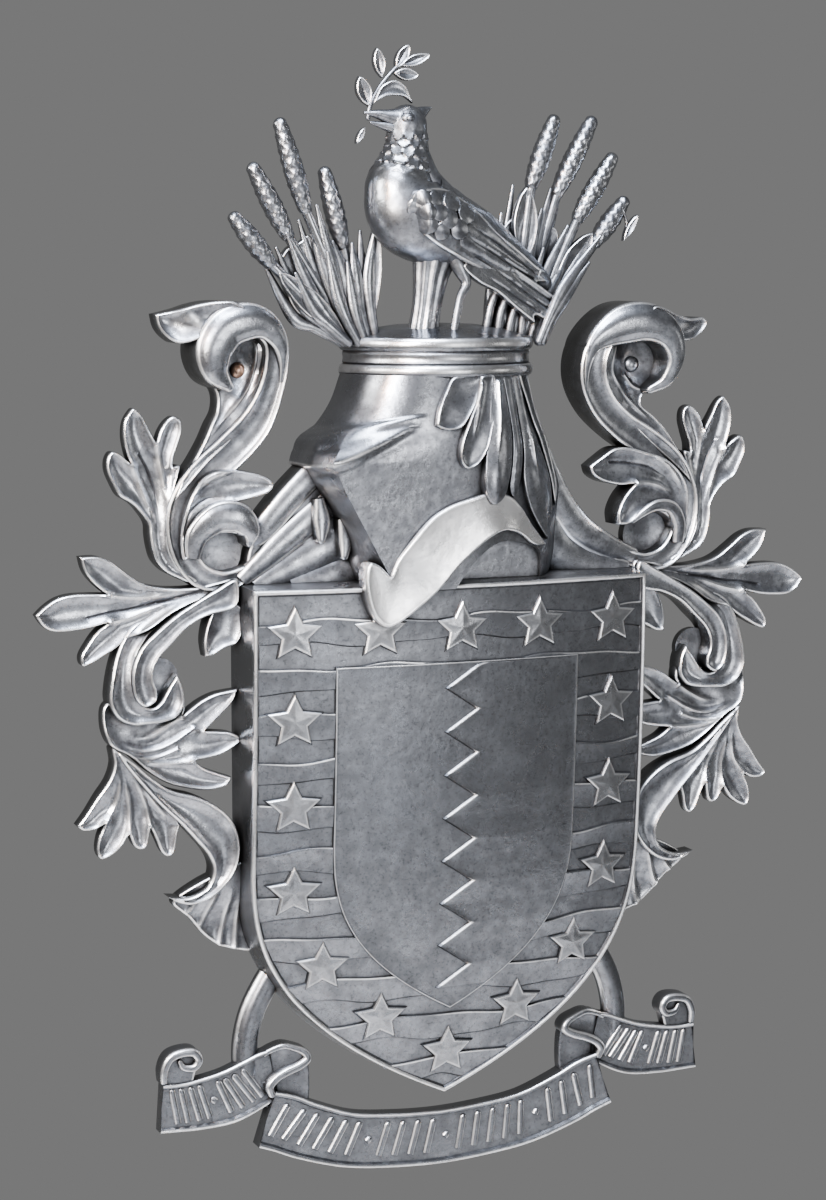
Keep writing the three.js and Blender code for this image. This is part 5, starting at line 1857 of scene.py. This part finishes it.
@dataclass
class Crest:
    """What the castings on the ring share: their places are measured from the ring's middle and top."""

    gauge: Gauge
    offset: float = 6.0
    depth: float = 24.0

    def sheet(self, sheet: Sheet, base: Depth) -> Shell:
        """A sheet on one of the crest's surfaces."""
        return sheet.shell(base, 2.4, 1.6).moved(self.offset, self.gauge.ring_top)

    def upright(self, forward: float) -> Depth:
        """An upright surface, some millimetres in front of the crest's depth."""
        return lambda x, z: np.full(len(x), self.depth + forward)

    def limb(self, rows: Rows, sides: int, step: float = 2.0, wave: Depth | None = None) -> Shell:
        """A limb or stalk in the round.

        Args:
            rows: Rows of across, up, radius in plan, radius towards the viewer and place forward.
            sides: Points round it.
            step: Spacing of its rings.
            wave: Share added to its radius for a distance along it and an angle round it.

        Returns:
            The shell.
        """
        return limb([(self.offset + across, self.gauge.ring_top + up, self.depth + forward, flat, deep)
                     for across, up, flat, deep, forward in rows], sides, step, wave)

    def lens(self, row: Row, forward: float, cup: float = 0.9) -> Shell:
        """A pointed leaf with a groove down its middle.

        Args:
            row: Across and up of its foot and of its tip, and its half width.
            forward: How far it stands in front of the crest's depth.
            cup: Depth of its hollow.

        Returns:
            The leaf.
        """
        start, tip, half = np.array(row[:2]), np.array(row[2:4]), row[4]
        run = tip - start
        side = np.array([-run[1], run[0]]) / np.hypot(*run) * half
        swell = ((0.25, 0.75), (0.55, 1.0), (0.85, 0.6))
        right = [tuple(start + run * share + side * width) for share, width in swell]
        left = [tuple(start + run * share - side * width) for share, width in swell[::-1]]
        middle = Crease(tuple(tuple(start + run * share) for share in (0.1, 0.4, 0.7, 0.9)), -1.0, 0.9)
        leaf = Sheet(((*start, 1), *right, (*tip, 1), *left), ((*start, 1),), cup=cup, spread=3.0, bead=0.6,
                     edge=1.0, creases=(middle,), thickness=5.0)
        return self.sheet(leaf, self.upright(forward))


@dataclass
class Dove(Crest):
    """The dove with a sprig in its beak, on its legs and supports.

    Rows hold the place across from the crest's middle and up from the ring's top, the radius in
    plan, the radius towards the viewer and the place forward, in millimetres.
    """

    depth: float = 42.0
    body_rows: Rows = (
        (100, 50, 8, 6, -10), (84, 60, 13, 9, -7), (54, 78, 19, 16, -3), (22, 93, 29, 25, 0),
        (-14, 104, 39, 33, 0), (-46, 119, 43, 37, 0), (-57, 142, 36, 32, 0), (-54, 163, 25.5, 25, 0),
        (-51, 180, 20.5, 20, 0), (-51, 193, 19.5, 19, 0), (-51, 201, 19.5, 19, 0))
    nape: Rows = ((-40, 170, 13, 14, 0), (-30, 150, 13, 16, 0), (-14, 134, 13, 18, 0), (6, 120, 10, 16, 0))
    support: Rows = ((-22, 76, 22, 17, 0), (-26, 56, 17, 14, 0), (-30, 28, 14, 12, 0), (-35, -2, 15, 14, 0))
    legs: Sequence[Rows] = (
        ((-10, 84, 10, 10, 10), (0, 62, 7, 7, 14), (4, 50, 5, 5, 16), (-3, 36, 4, 4, 18), (-12, -2, 4, 4, 22)),
        ((52, 52, 4.5, 5, -6), (40, 30, 4.5, 5, -6), (34, -2, 5, 5, -6)),
        ((60, 44, 4.5, 5, -4), (50, 24, 4.5, 5, -4), (46, -2, 5, 5, -4)),
        ((70, 36, 4.5, 5, -6), (62, 18, 4.5, 5, -6), (58, -2, 5, 5, -6)))
    beak: Sequence[Rows] = (((-60, 206, 11, 10, 4), (-72, 208, 7, 7, 4), (-82, 210, 4.5, 5, 4),
                             (-95, 211, 1.6, 2, 4)),
                            ((-62, 197, 7, 7, 4), (-74, 199, 4.5, 5, 4), (-89, 202, 1.4, 1.6, 4)),
                            ((-44, 207, 11, 11, 0), (-35, 213, 6, 6, 0), (-27, 217, 1.6, 1.8, 0)))
    eye: Rows = ((-55, 206, 7.5, 0.8), (-55, 206, 3.4, 2.6))
    neck: tuple[float, float] = (202.0, 250.0)
    feather_row: float = 9.0
    feathers_across: int = 6
    feather_depth: float = 0.14
    down_depth: float = 0.008
    flute_count: int = 11
    flute_depth: float = 0.05
    wing: Sheet = Sheet(
        ((-65, 121), (-61, 108), (-51, 99), (-31, 86), (0, 71), (37, 57), (66, 44), (86, 35, 1), (80, 43),
         (93, 43, 1), (85, 51), (98, 52, 1), (88, 59), (97, 62, 1), (84, 67), (60, 83), (31, 102), (7, 124),
         (-17, 138), (-31, 141), (-45, 139), (-58, 133)),
        ((-45, 120, 5), (80, 50, 5)), cup=0.6, spread=6.0, bead=0.5, edge=1.6, thickness=11.0, creases=(
            Crease(((84, 45), (52, 58), (20, 72), (-8, 86), (-20, 96)), -2.6, 1.3),
            Crease(((87, 51), (56, 66), (26, 81), (-2, 96), (-16, 108)), -2.6, 1.3),
            Crease(((89, 56), (60, 73), (32, 90), (4, 106), (-8, 118)), -2.6, 1.3),
            Crease(((86, 63), (62, 79), (38, 96), (14, 114)), -2.2, 1.2),
            Crease(((10, 120), (-4, 108), (-10, 92), (-4, 78)), -2.0, 1.3)))
    shoulder: Sheet = Sheet(
        ((-45, 140), (-32, 135), (-26, 121), (-32, 107), (-45, 101), (-59, 107), (-65, 121), (-59, 134)),
        ((-45, 120, 8),), cup=1.6, bead=1.2, edge=1.6, thickness=9.0)
    scales: Rows = ((-3, 117, 10, 7.6), (-12, 102, 10, 7.6), (-19, 128, 10, 8.2), (-24, 112, 10, 8.4),
                    (-31, 99, 8, 8.4), (-45, 106, 9, 9.6), (-35, 118, 9, 10.0), (-57, 113, 8, 9.6),
                    (-38, 131, 8, 10.2), (-52, 130, 9, 10.4), (-58, 121, 7, 10.6), (-47, 118, 8, 11.4))
    tail: Sheet = Sheet(
        ((0, 68), (17, 52), (38, 42), (60, 26), (81, 12, 1), (82, 20), (98, 12, 1), (96, 22), (112, 18, 1),
         (106, 27), (113, 32, 1), (100, 40), (84, 50), (60, 64), (30, 80)),
        ((20, 60, 3), (100, 25, 2)), cup=0.6, spread=5.0, bead=0.5, edge=1.5, thickness=8.0, creases=(
            Crease(((88, 22), (62, 36), (36, 52), (16, 64)), -2.4, 1.3),
            Crease(((100, 24), (72, 41), (44, 59), (24, 70)), -2.4, 1.3),
            Crease(((102, 32), (76, 48), (50, 65)), -2.2, 1.3)))
    stem: Rows = ((-92, 206, 2.2, 2.2, 4), (-90, 217, 2.2, 2.2, 4), (-83, 231, 2.1, 2.1, 4),
                  (-74, 243, 2, 2, 4), (-60, 257, 1.8, 1.8, 4), (-52, 262, 1.4, 1.4, 4))
    leaves: Rows = ((-91, 217, -101, 245, 7.5), (-78, 244, -83, 272, 6), (-64, 253, -50, 276, 6),
                    (-60, 256, -28, 267, 5.5), (-66, 249, -40, 247, 6), (-95, 198, -104, 182, 3))
    fold_leaf: Sheet = Sheet(
        ((-88, 219, 1), (-82, 233), (-74, 240), (-64, 242), (-54, 236), (-47, 221, 1), (-56, 227), (-66, 228),
         (-76, 226)), ((-66, 232, 1),), cup=1.4, spread=3.5, bead=0.9, edge=1.2, thickness=5.0)

    def flank(self, x: np.ndarray, z: np.ndarray) -> np.ndarray:
        """Depth of the body's front.

        Args:
            x: Places across from the crest's middle.
            z: Heights above the ring's top.

        Returns:
            The depth at each place.
        """
        rows = np.array(self.body_rows)[6::-1]
        middle, half, deep, forward = (np.interp(x, rows[:, 0], rows[:, k]) for k in (1, 2, 3, 4))
        out = np.clip((z - middle) / (half + 3), -0.97, 0.97)
        return self.depth + forward + deep * np.sqrt(1 - out**2)

    def breast(self, x: float, up: float) -> float:
        """Depth of the front of the neck and head.

        Args:
            x: Place across from the crest's middle.
            up: Height above the ring's top.

        Returns:
            The depth there.
        """
        rows = np.array(self.body_rows)[6:]
        middle, half, deep = (float(np.interp(up, rows[:, 1], rows[:, k])) for k in (0, 2, 3))
        return self.depth + deep * math.sqrt(1 - min(abs(x - middle) / (half + 1), 0.95) ** 2)

    def knob(self, x: float, up: float, radius: float, rise: float) -> Shell:
        """A rounded knob on the head.

        Args:
            x: Place across from the crest's middle.
            up: Height above the ring's top.
            radius: Its radius.
            rise: How far it stands out from the head.

        Returns:
            The shell.
        """
        deep = radius * 0.75
        forward = self.breast(x, up) + rise - deep - self.depth
        return self.limb([(x, up + shift, radius, deep, forward) for shift in (-0.3, 0.3)], 24, 0.3)

    def scale(self, x: float, up: float, radius: float, rise: float) -> Sheet:
        """A round, slightly domed feather of the wing's shoulder.

        Args:
            x: Place across from the crest's middle.
            up: Height above the ring's top.
            radius: Its radius.
            rise: Its height over the flank.

        Returns:
            The sheet.
        """
        turns = [2 * math.pi * k / 10 for k in range(10)]
        outline = tuple((x + radius * math.cos(turn), up + radius * math.sin(turn)) for turn in turns)
        return Sheet(outline, ((x, up, rise),), cup=-1.4, spread=radius / 2, bead=0.0, edge=1.4, thickness=6.0,
                     rim_wear=0.3)

    def feathers(self, along: np.ndarray, angle: np.ndarray) -> np.ndarray:
        """Overlapping rows of feather tips, plain on the neck and faint below it.

        Args:
            along: Distances along the body.
            angle: Angles round it.

        Returns:
            The share added to the radius.
        """
        place = along / self.feather_row
        row = np.floor(place)
        low, high = (n - 0.45 * np.abs(np.cos(self.feathers_across * angle + math.pi / 2 * n))
                     for n in (row, row + 1))
        start, end = self.neck
        share = np.clip((along - start) / 12, 0, 1) * np.clip((end - along) / 6, 0, 1)
        depth = self.down_depth + self.feather_depth * share
        return depth * (0.5 - (place - np.where(place >= high, high, low)) / 1.45)

    def flutes(self, along: np.ndarray, angle: np.ndarray) -> np.ndarray:
        """Flutes along the support, as a share added to its radius."""
        return self.flute_depth * np.cos(self.flute_count * angle)

    def tail_plane(self, x: np.ndarray, z: np.ndarray) -> np.ndarray:
        """Depth of the tail's middle."""
        return np.interp(x, [0, 110], [self.depth + 18, self.depth + 2])

    def build(self, finish: Material) -> Object:
        """Builds and dresses the dove.

        Args:
            finish: Its material.

        Returns:
            The piece.
        """
        shells = [self.limb(self.body_rows, 72, 1.6, self.feathers),
                  self.limb(self.support, 88, 3.0, self.flutes)]
        shells += [self.limb(rows, 28) for rows in (*self.legs, *self.beak, self.stem, self.nape)]
        shells.append(self.sheet(self.tail, self.tail_plane))
        shells += [self.sheet(sheet, self.flank) for sheet in (self.wing, self.shoulder)]
        shells += [self.sheet(self.scale(*row), self.flank) for row in self.scales]
        shells += [self.knob(*row) for row in self.eye]
        shells += [self.lens(row, 5.0) for row in self.leaves]
        shells.append(self.sheet(self.fold_leaf, self.upright(6.0)))
        return dressed(solid("dove_casting", shells), finish, "dove", crease=40)


@dataclass
class Reeds(Crest):
    """One sheaf of reeds and blades on the ring.

    A reed holds its foot, the place and height of its spike's base, and those of its tip. A blade
    holds its foot, its middle, its tip and how far forward it stands.
    """

    side: Side = Side.LEFT
    spike: float = 9.6
    grain: float = 0.075
    swells: Rows = ((0.0, 0.72), (0.3, 1.0), (0.65, 0.96), (0.97, 0.7))
    left_reeds: Rows = ((-104, -185, 71, -220, 113), (-98, -165, 97, -199, 160), (-92, -149, 122, -174, 202),
                        (-84, -109, 88, -127, 157))
    left_blades: Rows = (
        (-110, -160, 20, -188, 70, -4), (-108, -152, 32, -177, 84, 0), (-105, -146, 48, -168, 98, 4),
        (-102, -136, 58, -153, 110, -3), (-99, -130, 68, -147, 126, 2), (-96, -124, 74, -138, 124, 5),
        (-94, -118, 60, -131, 93, -4), (-91, -112, 64, -121, 90, 3), (-88, -105, 58, -112, 94, -2),
        (-85, -98, 56, -102, 88, 5), (-82, -90, 50, -92, 100, 0), (-78, -85, 60, -78, 108, 6),
        (-107, -142, 26, -160, 60, 7), (-97, -118, 40, -128, 80, 8), (-90, -102, 36, -108, 70, 8))
    right_reeds: Rows = ((66, 87, 147, 111, 210), (72, 118, 140, 155, 210), (80, 138, 115, 175, 174),
                         (86, 160, 91, 191, 131))
    right_blades: Rows = (
        (54, 50, 60, 56, 118, 0), (57, 60, 72, 70, 145, -4), (60, 67, 70, 80, 124, 4),
        (63, 77, 74, 90, 143, -2), (66, 82, 66, 97, 122, 5), (69, 90, 72, 109, 142, 0),
        (72, 98, 68, 118, 124, -4), (76, 104, 62, 126, 106, 4), (79, 108, 52, 140, 108, -2),
        (86, 116, 50, 152, 96, 24), (90, 112, 34, 140, 70, 24), (84, 106, 40, 128, 84, 6),
        (50, 44, 40, 46, 84, 4), (60, 56, 44, 60, 90, 7), (73, 84, 40, 98, 84, 8))
    left_fan: Sheet = Sheet(
        ((-76, 0), (-80, 44), (-86, 80), (-97, 76), (-110, 86), (-121, 80), (-132, 80), (-143, 96), (-152, 90),
         (-165, 84), (-173, 68), (-166, 42), (-156, 24), (-133, 8), (-110, -2)),
        ((-120, 40, 2),), cup=0.8, spread=4.0, bead=0.3, edge=1.2, thickness=8.0, creases=(
            Crease(((-106, 4), (-124, 30), (-146, 54), (-162, 72)), 2.4, 3.0),
            Crease(((-102, 4), (-116, 36), (-132, 66), (-143, 88)), 2.4, 3.0),
            Crease(((-96, 4), (-106, 36), (-116, 72)), 2.4, 3.0),
            Crease(((-88, 4), (-94, 34), (-98, 70)), 2.4, 3.0)))
    right_fan: Sheet = Sheet(
        ((46, -2), (42, 14), (44, 44), (50, 76), (58, 102), (70, 114), (82, 108), (94, 118), (106, 108),
         (117, 102), (119, 86), (116, 66), (108, 46), (98, 20), (90, -2)),
        ((80, 50, 2),), cup=0.8, spread=4.0, bead=0.3, edge=1.2, thickness=8.0, creases=(
            Crease(((56, 4), (56, 40), (62, 90)), 2.4, 3.0),
            Crease(((64, 4), (70, 40), (80, 96)), 2.4, 3.0),
            Crease(((72, 4), (84, 40), (98, 88)), 2.4, 3.0),
            Crease(((80, 4), (94, 36), (110, 76)), 2.4, 3.0)))
    left_leaves: Rows = ((-84, 8, -77, 110, 8), (-108, 0, -178, 62, 11))
    right_leaves: Rows = ((78, 70, 80, 144, 13), (112, 44, 152, 100, 12), (186, 92, 202, 118, 4))
    right_strand: Rows = ((186, 124, 1.5, 2), (191, 110, 1.3, 2), (188, 96, 1.2, 2))

    def stalk(self, rows: Rows, sides: int, forward: float) -> Shell:
        """A smooth stalk, by rows of across, up and the two radii."""
        return self.limb([(*row, forward) for row in rows], sides, 2.5)

    def knots(self, along: np.ndarray, angle: np.ndarray) -> np.ndarray:
        """Rows of grains round a spike, as a share added to its radius."""
        return self.grain * np.sin(along / 1.5 + 2 * angle) * np.sin(5 * angle + along / 9.0)

    def shells(self) -> list[Shell]:
        """Every stalk, blade and foot of the sheaf.

        Returns:
            The shells.
        """
        if self.side is Side.LEFT:
            reeds, blades, fan, leaves = self.left_reeds, self.left_blades, self.left_fan, self.left_leaves
        else:
            reeds, blades, fan, leaves = self.right_reeds, self.right_blades, self.right_fan, self.right_leaves
        shells = [self.sheet(fan, self.upright(-3.0))]
        shells += [self.lens(row, 7.0, 2.0) for row in leaves]
        if self.side is Side.RIGHT:
            shells.append(self.stalk(self.right_strand, 12, 3.0))
        for n, (foot_x, base_x, base_up, tip_x, tip_up) in enumerate(reeds):
            forward = 3.0 if n % 2 == 0 else -3.0
            half_way = ((base_x + tip_x) / 2, (base_up + tip_up) / 2)
            shells.append(self.stalk([(foot_x, -6, 5, 5), (base_x, base_up, 5, 5), (*half_way, 4, 4)], 16,
                                     forward))
            spike = [(base_x + (tip_x - base_x) * share, base_up + (tip_up - base_up) * share,
                      self.spike * swell, self.spike * swell, forward) for share, swell in self.swells]
            shells.append(self.limb(spike, 32, 1.6, self.knots))
        for foot_x, middle_x, middle_up, tip_x, tip_up, forward in blades:
            knee = ((foot_x + middle_x) / 2 - 2, middle_up * 0.42)
            shells.append(self.stalk([(foot_x, -6, 4.5, 5), (*knee, 5.5, 5), (middle_x, middle_up, 6.5, 4),
                                      (tip_x, tip_up, 1.6, 1.6)], 18, forward))
        return shells

    def build(self, finish: Material) -> Object:
        """Builds and dresses the sheaf."""
        name = f"reeds_{self.side.value}"
        return dressed(solid(f"{name}_casting", self.shells()), finish, name, crease=40)


# Studio


@dataclass(frozen=True)
class Softbox:
    """A square soft light.

    Attributes:
        name: Its name.
        place: Where it stands, in metres.
        size: Its side, in metres.
        power: Its power, in watts.
        colour: Its colour, with its number sign.
    """

    name: str
    place: tuple[float, float, float]
    size: float
    power: float
    colour: str

    def build(self, target: Vector) -> None:
        """Sets the light up.

        Args:
            target: The place that it faces.
        """
        light = bpy.data.lights.new(self.name, "AREA")
        light.size = self.size
        light.energy = self.power
        light.color = linear(self.colour)[:3]
        lamp = bpy.data.objects.new(self.name, light)
        lamp.location = self.place
        lamp.rotation_euler = (target - Vector(self.place)).to_track_quat("-Z", "Y").to_euler()
        bpy.context.scene.collection.objects.link(lamp)


@dataclass
class Studio:
    """Floor, soft light, plain surroundings and the camera."""

    target: tuple[float, float, float] = (-0.0132, 0.020, 0.2336)
    azimuth: float = 22.1
    elevation: float = 7.1
    distance: float = 2.712
    lens: float = 81.36
    surround: str = "#787878"
    floor_drop: float = 1.0
    floor_size: float = 3.0
    lights: tuple[Softbox, ...] = (
        Softbox("sky_light", (-0.6, -1.1, 2.3), 1.1, 190.0, "#e6efff"),
        Softbox("window_light", (-1.8, -2.2, 1.4), 0.8, 190.0, "#f4f7ff"),
        Softbox("side_light", (-2.7, -0.5, 1.3), 0.9, 80.0, "#f6f4f0"),
        Softbox("near_light", (-1.15, -1.12, 0.6), 0.3, 22.0, "#fff4e6"),
        Softbox("room_light", (0.3, -3.0, -0.7), 1.2, 5.5, "#eef2fa"),
        Softbox("door_light", (0.5, -3.0, 0.35), 0.8, 27.0, "#f4f4f6"),
        Softbox("fill_light", (2.2, -1.2, 0.6), 0.7, 3.0, "#f4f2ee"),
        Softbox("warm_light", (-1.7, -1.5, 1.2), 0.35, 34.0, "#ffb878"))

    def build(self, floor: Material) -> None:
        """Sets up the floor, the lights, the surroundings and the camera.

        Args:
            floor: The floor's finish.
        """
        bpy.ops.object.select_all(action="DESELECT")
        bpy.ops.mesh.primitive_plane_add(size=self.floor_size, location=(0, -0.4, -self.floor_drop))
        plane = bpy.context.object
        plane.name = "floor"
        plane.data.materials.append(floor)
        for light in self.lights:
            light.build(Vector(self.target))
        world = bpy.data.worlds.new("plain_surround")
        bpy.context.scene.world = world
        world.use_nodes = True
        world.node_tree.nodes["Background"].inputs["Color"].default_value = linear(self.surround)
        camera = bpy.data.cameras.new("camera")
        camera.sensor_fit = "VERTICAL"
        camera.sensor_height = 36.0
        camera.lens = self.lens
        turn, tilt = math.radians(self.azimuth), math.radians(self.elevation)
        back = Vector((-math.sin(turn) * math.cos(tilt), -math.cos(turn) * math.cos(tilt), math.sin(tilt)))
        viewer = bpy.data.objects.new("camera", camera)
        viewer.location = Vector(self.target) + back * self.distance
        viewer.rotation_euler = (-back).to_track_quat("-Z", "Y").to_euler()
        bpy.context.scene.collection.objects.link(viewer)
        bpy.context.scene.camera = viewer


def main() -> None:
    """Builds the whole object in order."""
    logging.basicConfig(level=logging.INFO, format="%(name)s %(message)s")
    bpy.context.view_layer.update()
    gauge = Gauge()
    finishes = {tone: tone.value.material() for tone in Tone}
    shield = Shield(gauge)
    room = shield.body(gauge.clearance, gauge.clearance)
    shield.build(finishes[Tone.PLAIN])
    helm = Helm(gauge)
    helm.build(finishes[Tone.SHADED_HELM_COPY], room)
    for side in Side:
        Mantling(gauge, side).build(finishes[Tone.CAST], [room, helm.body(gauge.clearance)])
    Ribbon(gauge).build(finishes[Tone.PLAIN], room)
    Dove(gauge).build(finishes[Tone.LIGHT_SIDED_COPY])
    for side in Side:
        Reeds(gauge, side=side).build(finishes[Tone.LIGHT_SIDED_COPY])
    Screw(gauge, Side.LEFT).build(finishes[Tone.COPPERY], "coppery_metal")
    Screw(gauge, Side.RIGHT).build(finishes[Tone.CAST], "cast_metal")
    Studio().build(FloorPaint().material())


if __name__ == "__main__":
    main()
